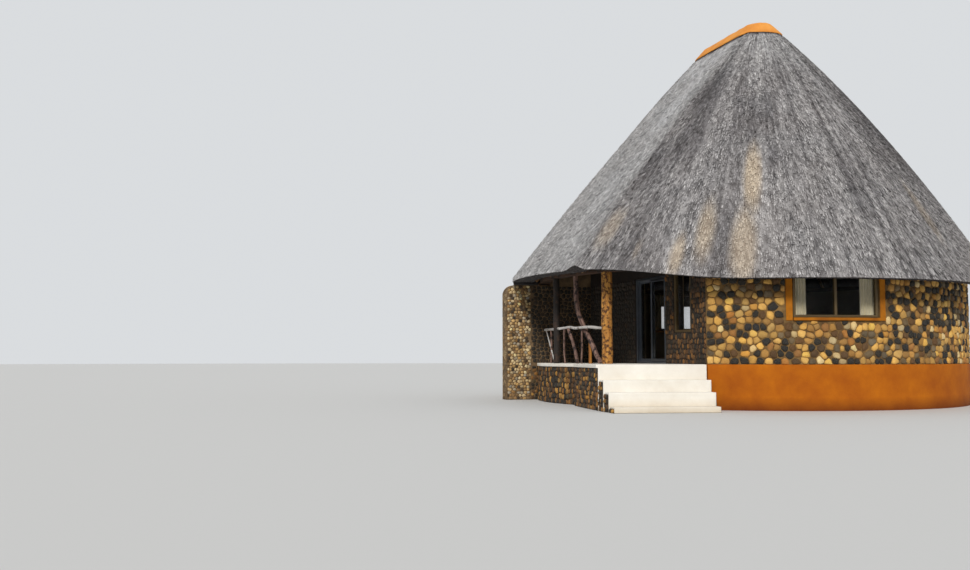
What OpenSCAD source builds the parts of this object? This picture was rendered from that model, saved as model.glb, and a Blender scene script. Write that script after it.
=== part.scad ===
// Rondavel hut: a round stone drum under a short-ridged thatch roof, with a
// verandah cut into one side. Origin on the ground under the middle of the
// drum, ridge along Y. Bearings turn from -Y (0) towards +X (90).

/* [Drum wall] */
// Radius of the stone wall's outer face
wall_r = 5200; // [4800:20:5600]
// Thickness of the stone wall
wall_t = 350; // [250:10:450]
// Height of the wall above the floor
wall_h = 2050; // [1900:10:2300]

/* [Base] */
// Height of the finished floor above the ground
floor_z = 940; // [800:10:1050]
// Thickness of the floor slab
slab_t = 75; // [60:5:120]
// How far the rendered plinth stands out from the stone wall
plinth_proud = 30; // [10:5:60]
// How far the verandah slab stands out from its base wall
slab_proud = 40; // [20:5:70]

/* [Verandah] */
// Distance of the verandah's back wall from the ridge line
back_x = 3340; // [3200:10:3450]
// Thickness of the back wall
back_t = 250; // [200:10:300]
// Distance of the screen wall from the middle of the hut, along the ridge
screen_y = 1950; // [1800:10:2100]
// Thickness of the screen wall
screen_t = 350; // [250:10:400]
// How far the screen wall reaches from the ridge line
screen_reach = 5690; // [5550:10:6000]
// Gap between the screen wall's top and the ring beam
screen_drop = 40; // [20:5:60]
// Radius of the screen wall's outer top corner
screen_corner = 260; // [100:10:400]

/* [Stair] */
// Width of the stair
stair_w = 2310; // [2000:10:2400]
// Turn of the stair from straight out of the ridge end
stair_turn = 10; // [4:1:14]
// Distance of the landing's right corner from the ridge line
stair_x = 3360; // [3180:10:3400]
// Depth of a tread
tread = 330; // [280:10:380]
// Height of the upper step
upper_h = 630; // [580:10:680]
// Height of the middle step
middle_h = 390; // [340:10:440]
// Height of the lower step
lower_h = 120; // [80:10:160]
// Thickness of the white render on the landing's front
apron_t = 60; // [40:5:100]
// How far the landing reaches back towards the drum
landing_d = 2100; // [1800:50:2300]

// How much narrower each lower step is, at either side
step_in = 25; // [0:5:60]

/* [Windows] */
// Bearing of the middle of the front window
window_angle = -10.4; // [-14:0.1:-8]
// Width of a window in the drum, straight across
window_w = 1880; // [1600:10:2080]
// Height of the finished sill above the floor
sill_h = 960; // [880:10:1060]
// Thickness of the rendered sill
sill_t = 70; // [50:5:100]
// How far a sill stands out from the stone
sill_proud = 55; // [30:5:80]
// Width of the rendered band beside a window
band_w = 145; // [90:5:220]
// Thickness of the rendered band
band_t = 25; // [10:5:40]
// Width of a window frame's bars
frame_w = 55; // [40:5:70]
// Depth of a window frame
frame_d = 80; // [60:5:90]
// Distance of a window frame from the drum's outer face
frame_in = 100; // [80:5:140]
// Thickness of the glass
glass_t = 8; // [6:1:12]
// Width of a drawn curtain
curtain_w = 320; // [200:10:400]
// Depth of a drawn curtain's folds
curtain_d = 60; // [40:5:70]

/* [Door] */
// Height of the door and of the verandah window's head above the floor
door_h = 2000; // [1900:10:2040]
// Place of the doorway's near edge along the ridge
door_y0 = -2210; // [-2400:10:-2150]
// Width of the doorway
door_w = 1500; // [1400:10:1900]
// Place of the verandah window's near edge along the ridge
side_y0 = -3350; // [-3380:10:-3300]
// Width of the verandah window
side_w = 750; // [600:10:850]
// Height of the verandah window's sill above the floor
side_sill_h = 690; // [600:10:800]
// Width of the door frame's bars
door_bar = 50; // [40:2:60]
// Setback of the door frame and of the verandah window's frame from the wall's face
opening_in = 10; // [5:5:60]
// Depth of the door frame
door_d = 120; // [110:2:140]
// Thickness of a door leaf
leaf_t = 40; // [34:1:44]
// Width of a door leaf's bars
stile_w = 60; // [45:5:80]
// Running clearance round the sliding leaf
run = 6; // [5.5:0.5:8]
// Width of the rail that the sliding leaf runs on
track_w = 10; // [6:1:16]

/* [Poles] */
// Radius of the corner post
post_r = 125; // [110:5:150]
// Bearing of the corner post
post_angle = -67.5; // [-69:0.1:-62]
// Radius of the middle post
mid_post_r = 80; // [70:5:110]
// Bearing of the middle post
mid_post_angle = -92; // [-94:0.5:-87]
// Distance of the posts and the rail from the drum's outer face
post_in = 170; // [150:5:200]
// Height of the rail above the floor
rail_h = 835; // [750:5:1000]
// Radius of the rail
rail_r = 32; // [25:1:45]
// Radius of a baluster
baluster_r = 24; // [18:1:32]
// Radius of the crooked trunk that leans beside the corner post
trunk_r = 58; // [45:1:65]
// Radius of a rafter
rafter_r = 40; // [32:1:42]
// Angle between rafters
rafter_step = 15; // [15:15:30]
// How far a rafter runs out past the ring beam
rafter_tail = 120; // [60:10:160]

/* [Roof] */
// Thickness of the ring beam
beam_h = 120; // [90:5:160]
// Width of the ring beam
beam_w = 250; // [200:10:280]
// Distance of the ring beam's outer face from the drum's outer face
beam_in = 50; // [30:5:80]
// Length of the ridge
ridge_l = 1950; // [1400:50:2600]
// Radius of the roof's blunt top round the ridge
top_r = 350; // [330:5:400]
// Height of the thatch at the top
thatch_top = 9320; // [9000:10:9500]
// Depth of the thatch over the timber crown that the rafters lean on
crown_drop = 460; // [400:10:680]
// Thickness of the crown
crown_h = 160; // [120:5:200]
// How far the eave stands out from the drum
eave_out = 670; // [600:10:740]
// Height of the eave at the ridge ends
eave_end_z = 2660; // [2600:10:2720]
// Height of the eave at the flat sides
eave_side_z = 3000; // [2960:10:3040]
// Angle of the hips from the ridge line
hip_angle = 69.5; // [65:0.5:71]
// Height of the kick in the eave at the hips
kick = 110; // [0:10:150]
// How far the hipped ends bulge
end_bulge = 420; // [0:10:480]
// How far the flat sides bulge
side_bulge = 130; // [0:10:200]

/* [Ridge cap] */
// How far the cap covers the thatch
cap_cover = 250; // [180:10:340]
// Thickness of the cap at its rim
cap_rim = 60; // [40:5:90]
// Height of the cap above the thatch
cap_rise = 120; // [100:10:220]
// Radius of the cap's flat top
cap_top_r = 130; // [80:10:180]

/* [Hidden] */
$fn = 96;
round_fn = 720;

// gap between curved faces that meet, and between pieces that seat
gap = 0.5;
seat = 0.3;
big = 20000;
// sectors of thatch, with their rows up the roof and facets round it
sectors = 8;
sector_span = 360 / sectors;
across = 8;
along = 12;

wall_in = wall_r - wall_t;
wall_top = floor_z + wall_h;
slab_r = wall_r + slab_proud;
plinth_r = wall_r + plinth_proud;
back_in = back_x - back_t;
screen_back = screen_y + screen_t;
head_z = floor_z + door_h;
sill_z = floor_z + sill_h;
beam_top = wall_top + beam_h;
beam_r = wall_r - beam_in;
post_ring = wall_r - post_in;
eave_r = wall_r + eave_out;
// bearings at which the drum meets the back wall's face and the screen wall
near_at = -asin(back_x / wall_r);
far_at = -180 + acos(screen_back / wall_r);
crown_z = thatch_top - crown_drop;
// bearings of the windows and of their edges, right round the drum
window_span = 2 * asin(window_w / 2 / wall_r);
band_span = band_w / wall_r * 180 / PI;
windows = [window_angle, window_angle + 90, window_angle + 180];
w0 = window_angle - window_span / 2;
w1 = window_angle + window_span / 2;

// a point at a bearing
function at(r, t) = [r * sin(t), -r * cos(t)];

// a sector of a ring between two bearings, less than a half turn
module sector(r0, r1, z0, z1, t0, t1) {
    reach = r1 * 2;
    mid = (t0 + t1) / 2;
    translate([0, 0, z0])
        intersection() {
            difference() {
                cylinder(h = z1 - z0, r = r1, $fn = round_fn);
                translate([0, 0, -1])
                    cylinder(h = z1 - z0 + 2, r = r0, $fn = round_fn);
            }
            translate([0, 0, -2])
                linear_extrude(z1 - z0 + 4)
                    polygon([[0, 0], at(reach, t0), at(reach, mid), at(reach, t1)]);
        }
}

// Base

module plinth_fill() {
    color("dimgray")
        cylinder(h = floor_z - slab_t, r = wall_in - gap, $fn = round_fn);
}

module plinth() {
    first = near_at;
    last = 360 + far_at;
    parts = 4;
    step = (last - first) / parts;
    joint = 0.01;
    color("chocolate")
        difference() {
            for (i = [0 : parts - 1])
                sector(wall_in, plinth_r, 0, floor_z, first + i * step + joint,
                       first + (i + 1) * step - joint);
            translate([-big - back_x, -big, -1])
                cube([big, big, floor_z + 2]);
        }
}

module floor_slab() {
    color("gainsboro")
        union() {
            translate([0, 0, floor_z - slab_t])
                cylinder(h = slab_t, r = wall_in - gap, $fn = round_fn);
            sector(wall_in - 100, slab_r, floor_z - slab_t, floor_z, far_at + 0.5, near_at - 0.5);
        }
}

module verandah_base_wall() {
    color("dimgray")
        sector(wall_in, wall_r, 0, floor_z - slab_t, far_at + 0.5, near_at - 0.5);
}

// Landing and steps, in the stair's own frame: x runs back from the landing's
// right corner along its front edge, and -y is the way down

stair_y = sqrt(pow(slab_r, 2) - pow(stair_x, 2));

module on_stair() {
    translate([-stair_x, -stair_y, 0])
        rotate([0, 0, -stair_turn])
            children();
}

module clear_of_drum(z1) {
    difference() {
        children();
        translate([0, 0, -1])
            cylinder(h = z1 + 2, r = slab_r + gap, $fn = round_fn);
    }
}

module landing() {
    color("dimgray")
        clear_of_drum(floor_z)
            on_stair()
                translate([-stair_w, apron_t, 0])
                    cube([stair_w, landing_d, floor_z - slab_t]);
}

module landing_slab() {
    color("whitesmoke")
        clear_of_drum(floor_z)
            on_stair() {
                translate([-stair_w - slab_proud, 0, floor_z - slab_t])
                    cube([stair_w + slab_proud, landing_d, slab_t]);
                translate([-stair_w, 0, 0])
                    cube([stair_w, apron_t, floor_z - slab_t]);
            }
}

module stair_step(i, h) {
    color("whitesmoke")
        clear_of_drum(floor_z)
            on_stair()
                translate([-stair_w + i * step_in, -i * tread, 0])
                    cube([stair_w - 2 * i * step_in, tread, h]);
}

module upper_step() { stair_step(1, upper_h); }
module middle_step() { stair_step(2, middle_h); }
module lower_step() { stair_step(3, lower_h); }

// Stone walls

module wall(t0, t1, z1 = wall_top) {
    color("peru")
        sector(wall_in, wall_r, floor_z, z1, t0, t1);
}

module wall_beside_verandah() {
    difference() {
        wall(near_at - 5, w0);
        translate([-big - back_x, -big, 0])
            cube([big, big, big]);
    }
}

module wall_under_front_window() { wall(w0, w1, sill_z - sill_t); }
module wall_right_front() { wall(w1, w0 + 90); }
module wall_under_right_window() { wall(w0 + 90, w1 + 90, sill_z - sill_t); }
module wall_right_back() { wall(w1 + 90, w0 + 180); }
module wall_under_back_window() { wall(w0 + 180, w1 + 180, sill_z - sill_t); }

module wall_left_back() {
    difference() {
        wall(w1 + 180, 360 + far_at + 5);
        translate([-big, screen_back - big, 0])
            cube([big, big, big]);
    }
}

// Verandah walls

module back_piece(y0, y1, z0, z1) {
    color("sienna")
        translate([-back_x, y0, z0])
            cube([back_t, y1 - y0, z1 - z0]);
}

module back_wall_piers() {
    intersection() {
        back_piece(-wall_r, side_y0, floor_z, head_z);
        translate([0, 0, floor_z])
            cylinder(h = door_h, r = wall_in - gap, $fn = round_fn);
    }
    back_piece(side_y0 + side_w, door_y0, floor_z, head_z);
}

module back_wall_under_window() {
    back_piece(side_y0, side_y0 + side_w, floor_z, floor_z + side_sill_h);
}

module back_wall() {
    back_piece(door_y0 + door_w, screen_y, floor_z, head_z);
}

// Both inner walls go up to the rafters, with their tops cut to the roof's slope

wall_steps = 12;
rafter_clear = 60;

// the wall over the doorway and the window
module back_wall_upper() {
    near = -sqrt(pow(wall_in, 2) - pow(back_in, 2));
    color("sienna")
        intersection() {
            translate([-back_in, 0, 0])
                rotate([0, -90, 0])
                    linear_extrude(back_t)
                        polygon(concat(
                            [[head_z, near], [head_z, screen_y]],
                            [for (i = [0 : wall_steps])
                                let (y = screen_y + (near - screen_y) * i / wall_steps)
                                [rafter_under(-back_x, y) - rafter_clear, y]]));
            cylinder(h = crown_z, r = wall_in - gap, $fn = round_fn);
        }
}

// outside it stops under the ring beam, and inside the beam it goes on up
module screen_wall() {
    low_top = wall_top - screen_drop;
    far = -(beam_r - beam_w);
    color("tan")
        union() {
            difference() {
                union() {
                    translate([-screen_reach, screen_y, 0])
                        cube([screen_reach - back_in, screen_t, low_top - screen_corner]);
                    translate([-screen_reach + screen_corner, screen_y, 0])
                        cube([screen_reach - screen_corner - back_in, screen_t, low_top]);
                    translate([-screen_reach + screen_corner, screen_back, low_top - screen_corner])
                        rotate([90, 0, 0])
                            cylinder(h = screen_t, r = screen_corner, $fn = round_fn);
                }
                translate([0, 0, -1])
                    cylinder(h = floor_z + 1, r = slab_r + gap, $fn = round_fn);
            }
            intersection() {
                translate([0, screen_back, 0])
                    rotate([90, 0, 0])
                        linear_extrude(screen_t)
                            polygon(concat(
                                [[-back_in, low_top - 1], [far, low_top - 1]],
                                [for (i = [0 : wall_steps])
                                    let (x = far + (-back_in - far) * i / wall_steps)
                                    [x, rafter_under(x, screen_back) - rafter_clear]]));
                cylinder(h = crown_z, r = beam_r - beam_w - gap, $fn = round_fn);
            }
        }
}

// Windows in the drum, each square to its own bearing

frame_out = wall_r - frame_in;
frame_back = frame_out - frame_d;
half_open = frame_back * tan(window_span / 2) - gap;
frame_z = sill_z + seat;
open_h = wall_top - frame_z - seat;

module at_window(t) {
    rotate([0, 0, t - 90])
        children();
}

// a frame lying in the YZ plane, with upright bars between its panes
module frame(w, h, d, bar, panes) {
    pane = (w - bar * (panes + 1)) / panes;
    difference() {
        cube([d, w, h]);
        for (i = [0 : panes - 1])
            translate([-1, bar + i * (pane + bar), bar])
                cube([d + 2, pane, h - 2 * bar]);
    }
}

module panes(w, h, d, bar, panes) {
    pane = (w - bar * (panes + 1)) / panes;
    for (i = [0 : panes - 1])
        translate([d / 2 - glass_t / 2, bar + i * (pane + bar) + seat, bar + seat])
            cube([glass_t, pane - 2 * seat, h - 2 * bar - 2 * seat]);
}

module window_surrounds() {
    color("peru")
        for (t = windows)
            union() {
                sector(wall_in, wall_r + sill_proud, sill_z - sill_t, sill_z,
                       t - window_span / 2 + 0.01, t + window_span / 2 - 0.01);
                for (s = [-1, 1])
                    sector(wall_r + gap, wall_r + band_t, sill_z - sill_t, wall_top,
                           t + s * (window_span / 2 + band_span / 2) - band_span / 2,
                           t + s * (window_span / 2 + band_span / 2) + band_span / 2);
            }
}

module window_frames() {
    color("saddlebrown") {
        for (t = windows)
            at_window(t)
                translate([frame_back, -half_open, frame_z])
                    frame(2 * half_open, open_h, frame_d, frame_w, 2);
        translate([-back_x + opening_in, side_y0, floor_z + side_sill_h])
            frame(side_w, door_h - side_sill_h, frame_d, frame_w, 1);
    }
}

module window_glass() {
    color("lightblue") {
        for (t = windows)
            at_window(t)
                translate([frame_back, -half_open, frame_z])
                    panes(2 * half_open, open_h, frame_d, frame_w, 2);
        translate([-back_x + opening_in, side_y0, floor_z + side_sill_h])
            panes(side_w, door_h - side_sill_h, frame_d, frame_w, 1);
        translate([fixed_x, fixed_y, floor_z + door_bar])
            panes(leaf_w, door_h - 2 * door_bar, leaf_t, stile_w + run, 1);
    }
}

module curtains() {
    behind = 30;
    foot = 20;
    side = 5;
    curtain_x = frame_back - behind - curtain_d;
    half_room = curtain_x * tan(window_span / 2) - side;
    color("cornsilk")
        for (t = windows)
            at_window(t)
                for (s = [-1, 1])
                    translate([curtain_x, s * (half_room - curtain_w / 2) - curtain_w / 2,
                               sill_z + foot])
                        cube([curtain_d, curtain_w, wall_top - sill_z - foot - seat]);
}

// Sliding door: a fixed leaf at the far side and a moving one in front of it

track_x = -back_x + opening_in;
lap = stile_w;
leaf_w = (door_w - 2 * door_bar + lap) / 2;
leaf_h = door_h - 2 * door_bar - 2 * run;
leaf_z = floor_z + door_bar + run;
fixed_x = track_x + door_d - leaf_t - (door_d - 2 * leaf_t) / 3;
fixed_y = door_y0 + door_w - door_bar - leaf_w;
moving_x = track_x + (door_d - 2 * leaf_t) / 3;
moving_y = door_y0 + door_bar + run;

module door_frame() {
    color("silver")
        union() {
            translate([track_x, door_y0, floor_z])
                frame(door_w, door_h, door_d, door_bar, 1);
            translate([fixed_x, fixed_y, floor_z + door_bar])
                frame(leaf_w, door_h - 2 * door_bar, leaf_t, stile_w + run, 1);
            translate([moving_x + leaf_t / 2 - track_w / 2, door_y0, floor_z + door_bar - 1])
                cube([track_w, door_w, 1 + run - seat]);
        }
}

module door_leaf() {
    color("silver")
        translate([moving_x, moving_y, leaf_z])
            frame(leaf_w - run, leaf_h, leaf_t, stile_w, 1);
}

module door_leaf_glass() {
    color("lightblue")
        translate([moving_x + leaf_t / 2 - glass_t / 2, moving_y + stile_w + seat,
                   leaf_z + stile_w + seat])
            cube([glass_t, leaf_w - run - 2 * stile_w - 2 * seat,
                  leaf_h - 2 * stile_w - 2 * seat]);
}

// Verandah timber

post_h = wall_h;

module post(r, t) {
    p = at(post_ring, t);
    translate([p[0], p[1], floor_z])
        cylinder(h = post_h, r = r, $fn = 48);
}

module verandah_posts() {
    color("goldenrod") {
        post(post_r, post_angle);
        post(mid_post_r, mid_post_angle);
    }
}

// a round bar between two points
module pole(a, b, r) {
    d = b - a;
    l = norm(d);
    translate(a)
        rotate([0, acos(d[2] / l), atan2(d[1], d[0])])
            cylinder(h = l, r = r, $fn = 24);
}

// a branch that bends at its points, with a knuckle at each bend
knuckle = 1.06;
module limb(points, r) {
    last = len(points) - 1;
    union() {
        for (i = [0 : last - 1])
            pole(points[i], points[i + 1], r);
        for (i = [1 : last - 1])
            if (last > 1)
                translate(points[i])
                    sphere(r = r * knuckle, $fn = 48);
    }
}

function unit(v) = v / norm(v);

// the rail's two spans, corner post to middle post to screen wall, and at
// shares of each span how far the crooked rail rises or dips
screen_hit = -180 + acos(screen_y / post_ring);
rail_z = floor_z + rail_h;
rail_stops = [for (t = [post_angle, mid_post_angle, screen_hit]) concat(at(post_ring, t), rail_z)];
rail_bends = [[[0, -28], [0.13, -28], [0.35, 5], [0.6, -6], [0.72, 20], [0.92, 0], [1, 0]],
              [[0, 0], [0.16, -4], [0.67, 14], [1, 22]]];

function span_l(i) = norm(rail_stops[i + 1] - rail_stops[i]);
function span_dir(i) = unit(rail_stops[i + 1] - rail_stops[i]);
function on_span(i, f) = rail_stops[i] + (rail_stops[i + 1] - rail_stops[i]) * f;
function on_rail(i, f) = on_span(i, f) + [0, 0, lookup(f, rail_bends[i])];

// each span is scribed round the posts, and its end is let up against the wall
module verandah_rail() {
    past_wall = 30;
    ends = [1, 1 + past_wall / span_l(1)];
    color("gainsboro")
        difference() {
            for (i = [0, 1])
                let (bends = [for (b = rail_bends[i]) if (b[0] > 0 && b[0] < 1) b[0]])
                    limb([for (f = concat(0, bends, ends[i])) on_rail(i, f)], rail_r);
            post(post_r + seat, post_angle);
            post(mid_post_r + seat, mid_post_angle);
            translate([-big, screen_y - seat, 0])
                cube([2 * big, big, big]);
        }
}

// span, radius factor, then share of the span and of the height from the foot up
baluster_set = [[0, 1.7, [[0.57, 0], [0.597, 0.26], [0.644, 0.54], [0.701, 0.78], [0.752, 1]]],
                [0, 1.0, [[0.488, 0], [0.478, 0.5], [0.483, 1]]],
                [0, 0.9, [[0.818, 0], [0.838, 0.4], [0.833, 1]]],
                [1, 1.0, [[0.1, 0], [0.07, 1]]],
                [1, 0.7, [[0.137, 0], [0.868, 1]]],
                [1, 1.0, [[0.45, 0], [0.418, 0.6], [0.44, 1]]]];

// a leaning end is square to its branch, so it stands on its edge: the height
// of the end's middle is found from the lean, and the lean from the height
function edge(a, b, r) = r * norm([b[0] - a[0], b[1] - a[1]]) / norm(b - a);
function end_z(a, b, r, z, turns = 4) =
    turns == 0 ? z : end_z(a, b, r, a[2] + edge([a[0], a[1], z], b, r), turns - 1);
function stood(points, r) =
    let (n = len(points) - 1)
    [for (i = [0 : n])
        let (p = points[i])
        i == 0 ? [p[0], p[1], end_z(p, points[1], r, p[2])]
        : i == n ? p - [0, 0, edge(points[n - 1], p, r)] : p];

module balusters() {
    foot_z = floor_z + seat;
    color("rosybrown")
        for (b = baluster_set)
            let (i = b[0], r = baluster_r * b[1], marks = b[2],
                 top = marks[len(marks) - 1][0], side = r / span_l(i),
                 top_z = min(on_rail(i, top - side)[2], on_rail(i, top + side)[2])
                         - rail_r * knuckle - seat)
                limb(stood([for (m = marks) let (p = on_span(i, m[0]))
                                [p[0], p[1], foot_z + (top_z - foot_z) * m[1]]], r), r);
}

// The trunk leans inside the rail: share of the first span, share of the wall's
// height, and distance in from the rail. A short upright props it.
trunk_in = (rail_r + trunk_r) * knuckle + 2;
trunk_marks = [[0.184, 0, trunk_in], [0.263, 0.096, trunk_in], [0.343, 0.208, trunk_in],
               [0.47, 0.368, trunk_in], [0.543, 0.473, trunk_in], [0.611, 0.579, trunk_in],
               [0.626, 0.73, 60], [0.596, 0.905, 10], [0.586, 1, -20]];

function span_in(i) = let (d = span_dir(i)) [-d[1], d[0], 0] * (d[1] > 0 ? -1 : 1);
function trunk_point(m) =
    let (p = on_span(0, m[0]) + span_in(0) * m[2])
    [p[0], p[1], floor_z + seat + (wall_h - 2 * seat) * m[1]];

module leaning_trunk() {
    prop_r = 40;
    prop_at = 0.385;
    low = trunk_point(trunk_marks[2]);
    high = trunk_point(trunk_marks[3]);
    across_l = norm([high[0] - low[0], high[1] - low[1]]);
    lean = (high[2] - low[2]) / across_l;
    prop = on_span(0, prop_at) + span_in(0) * trunk_in;
    axis = low[2] + lean * norm([prop[0] - low[0], prop[1] - low[1]]);
    prop_top = axis - trunk_r * sqrt(1 + lean * lean) - lean * prop_r - seat;
    color("rosybrown") {
        limb(stood([for (m = trunk_marks) trunk_point(m)], trunk_r), trunk_r);
        translate([prop[0], prop[1], floor_z + seat])
            cylinder(h = prop_top - floor_z - seat, r = prop_r, $fn = 48);
    }
}

// Roof geometry. A roof line runs in plan from the eave at a bearing to the
// blunt end or side of the ridge; u is the plan distance in from the eave.

function clamp(v, m) = max(-m, min(m, v));
function smooth(v) = let (c = max(0, min(1, v))) c * c * (3 - 2 * c);
function from_end(t) = let (a = abs(((t % 360) + 540) % 360 - 180)) min(a, 180 - a);

function eave_xy(t) = at(eave_r, t);
function top_xy(t) = at(top_r, t) + [0, clamp(-(eave_r - top_r) * cos(t), ridge_l / 2)];
function run_l(t) = norm(eave_xy(t) - top_xy(t));
function dir(t) = unit(top_xy(t) - eave_xy(t));

// the ends' eave is level up to low_angle, and the kick dies out at kick_angle
// from a hip
low_angle = 30;
bulge_angle = 50;
kick_angle = 3.1;
function eave_z(t) =
    eave_end_z
    + (eave_side_z - eave_end_z) * smooth((from_end(t) - low_angle) / (hip_angle - low_angle))
    + kick * max(0, 1 - abs(from_end(t) - hip_angle) / kick_angle);

// where a roof line crosses a circle round the drum's middle
function cross_u(t, r) =
    let (e = eave_xy(t), d = dir(t), b = e * d)
    -b - sqrt(b * b - e * e + r * r);

function slope(t) = (crown_z - beam_top) / (run_l(t) - cross_u(t, beam_r));
// slope across the contours, where a roof line crosses the ring beam askew
function true_slope(t) =
    let (p = eave_xy(t) + dir(t) * cross_u(t, beam_r))
    slope(t) * norm(p) / -(p * dir(t));
function lift(t) = rafter_r / 2 * (pow(true_slope(t), 2) - pow(slope(t), 2));
// rafter axis and the thatch's two faces above a place on a roof line
function axis_z(t, u) =
    beam_top + seat + lift(t) + rafter_r * sqrt(1 + pow(slope(t), 2))
    + slope(t) * (u - cross_u(t, beam_r));
function under_z(t, u) = axis_z(t, u) + rafter_r * sqrt(1 + pow(true_slope(t), 2)) + seat;
function over_z(t, u) =
    let (s = u / run_l(t))
    eave_z(t) + (thatch_top - eave_z(t)) * s
    + (end_bulge + (side_bulge - end_bulge) * smooth((from_end(t) - bulge_angle) / (hip_angle - bulge_angle)))
      * 4 * s * (1 - s);

// underside of the rafters over any place on the left side
function rafter_under(x, y) =
    let (t = abs(y) <= ridge_l / 2 ? -90 : atan2(x, -(y - sign(y) * ridge_l / 2)),
         e = cos(t) == 0 ? [-eave_r, y] : eave_on(t, sign(y) * ridge_l / 2),
         u = abs(y) <= ridge_l / 2 ? sqrt(pow(eave_r, 2) - y * y) + x : norm(e - [x, y]),
         l = abs(y) <= ridge_l / 2 ? sqrt(pow(eave_r, 2) - y * y) - top_r : norm(e - [0, sign(y) * ridge_l / 2]) - top_r)
    beam_top + (crown_z - beam_top) * (u - eave_out - beam_in) / (l - eave_out - beam_in);

// where a line from a ridge end at a bearing meets the eave circle
function eave_on(t, y0) =
    let (d = at(1, t), b = y0 * d[1])
    [0, y0] + d * (-b + sqrt(b * b - y0 * y0 + eave_r * eave_r));

module ring_beam() {
    parts = 8;
    joint = 0.01;
    color("saddlebrown")
        for (i = [0 : parts - 1])
            sector(beam_r - beam_w, beam_r, wall_top, beam_top,
                   (i - 0.5) * 360 / parts + joint, (i + 0.5) * 360 / parts - joint);
}

module rafters() {
    inward = 20;
    color("burlywood")
        for (t = [0 : rafter_step : 359])
            let (e = eave_xy(t), d = dir(t),
                 u0 = cross_u(t, beam_r + rafter_tail), u1 = run_l(t) + inward)
                pole(concat(e + d * u0, axis_z(t, u0)), concat(e + d * u1, axis_z(t, u1)), rafter_r);
}

module ridge_crown() {
    color("saddlebrown")
        translate([0, 0, crown_z - crown_h])
            union() {
                translate([-top_r, -ridge_l / 2, 0])
                    cube([2 * top_r, ridge_l, crown_h]);
                for (s = [-1, 1])
                    translate([0, s * ridge_l / 2, 0])
                        cylinder(h = crown_h, r = top_r, $fn = 48);
            }
}

// Thatch

// The thatch is lofted over evenly spaced roof lines, but where the flat sides'
// sectors end the line moves round to the hip
function line(i) =
    let (t = (i / along - 0.5) * sector_span, near_hip = 90 - sector_span / 2,
         turn = ((t % 180) + 180) % 180 < 90 ? 1 : -1)
    abs(from_end(t) - near_hip) < 0.01 ? t + turn * (hip_angle - near_hip) : t;

// the closed outline of the thatch over one roof line
function thatch_outline(t) =
    let (e = eave_xy(t), d = dir(t), l = run_l(t),
         lip = cross_u(t, beam_r) - (under_z(t, cross_u(t, beam_r)) - eave_z(t)) / slope(t))
    concat(
        [for (j = [0 : across]) let (u = l * (1 - j / across)) concat(e + d * u, over_z(t, u))],
        [for (j = [0 : 2]) let (u = lip + (l - lip) * j / 2) concat(e + d * u, under_z(t, u))]);

// skin between outlines, closed by fans round one point of the two end outlines
module loft(rows, hub) {
    n = len(rows[0]);
    last = len(rows) - 1;
    points = [for (r = rows) each r];
    skin = [for (i = [0 : last - 1], j = [0 : n - 1])
        let (a = i * n + j, b = i * n + (j + 1) % n, c = a + n, d = b + n)
        each [[a, b, d], [a, d, c]]];
    ends = [for (k = [1 : n - 2])
        let (a = (hub + k) % n, b = (hub + k + 1) % n)
        each [[hub, b, a], [last * n + hub, last * n + a, last * n + b]]];
    polyhedron(points, concat(skin, ends), convexity = 6);
}

module thatch(number) {
    color("darkgray")
        loft([for (i = [0 : along]) thatch_outline(line(number * along + i))], across + 2);
}

module thatch_front() { thatch(0); }
module thatch_front_right() { thatch(1); }
module thatch_right() { thatch(2); }
module thatch_back_right() { thatch(3); }
module thatch_back() { thatch(4); }
module thatch_back_left() { thatch(5); }
module thatch_left() { thatch(6); }
module thatch_front_left() { thatch(7); }

// Ridge cap

module ridge_cap() {
    skirt_gap = 2.5;
    shoulder = 0.55;
    count = along * sectors;
    bearings = [for (i = [0 : count - 1]) line(i)];
    function ring(u_in, z) = [for (t = bearings)
        let (u = run_l(t) - u_in) concat(eave_xy(t) + dir(t) * u, z)];
    function on_thatch(u_in, up) = [for (t = bearings)
        let (u = run_l(t) - u_in) concat(eave_xy(t) + dir(t) * u, over_z(t, u) + up)];
    color("sandybrown")
        loft([ring(0, thatch_top + seat), on_thatch(cap_cover, skirt_gap), on_thatch(cap_cover, cap_rim),
              ring(0, thatch_top + cap_rise * shoulder),
              ring(-(top_r - cap_top_r), thatch_top + cap_rise)], 0);
}

plinth_fill();
plinth();
floor_slab();
verandah_base_wall();
landing();
landing_slab();
upper_step();
middle_step();
lower_step();
wall_beside_verandah();
wall_under_front_window();
wall_right_front();
wall_under_right_window();
wall_right_back();
wall_under_back_window();
wall_left_back();
back_wall_piers();
back_wall_under_window();
back_wall();
back_wall_upper();
screen_wall();
window_surrounds();
window_frames();
window_glass();
curtains();
door_frame();
door_leaf();
door_leaf_glass();
verandah_posts();
leaning_trunk();
verandah_rail();
balusters();
ring_beam();
rafters();
ridge_crown();
thatch_front();
thatch_front_right();
thatch_right();
thatch_back_right();
thatch_back();
thatch_back_left();
thatch_left();
thatch_front_left();
ridge_cap();
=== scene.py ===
"""Looks of the rondavel hut: cobble walls, reed thatch, logs, cement steps, glass and curtains.

Metres, +Z up, the ridge along Y. Bearings turn from -Y (0) towards +X (90), as in the frame.
"""
import math

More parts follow.
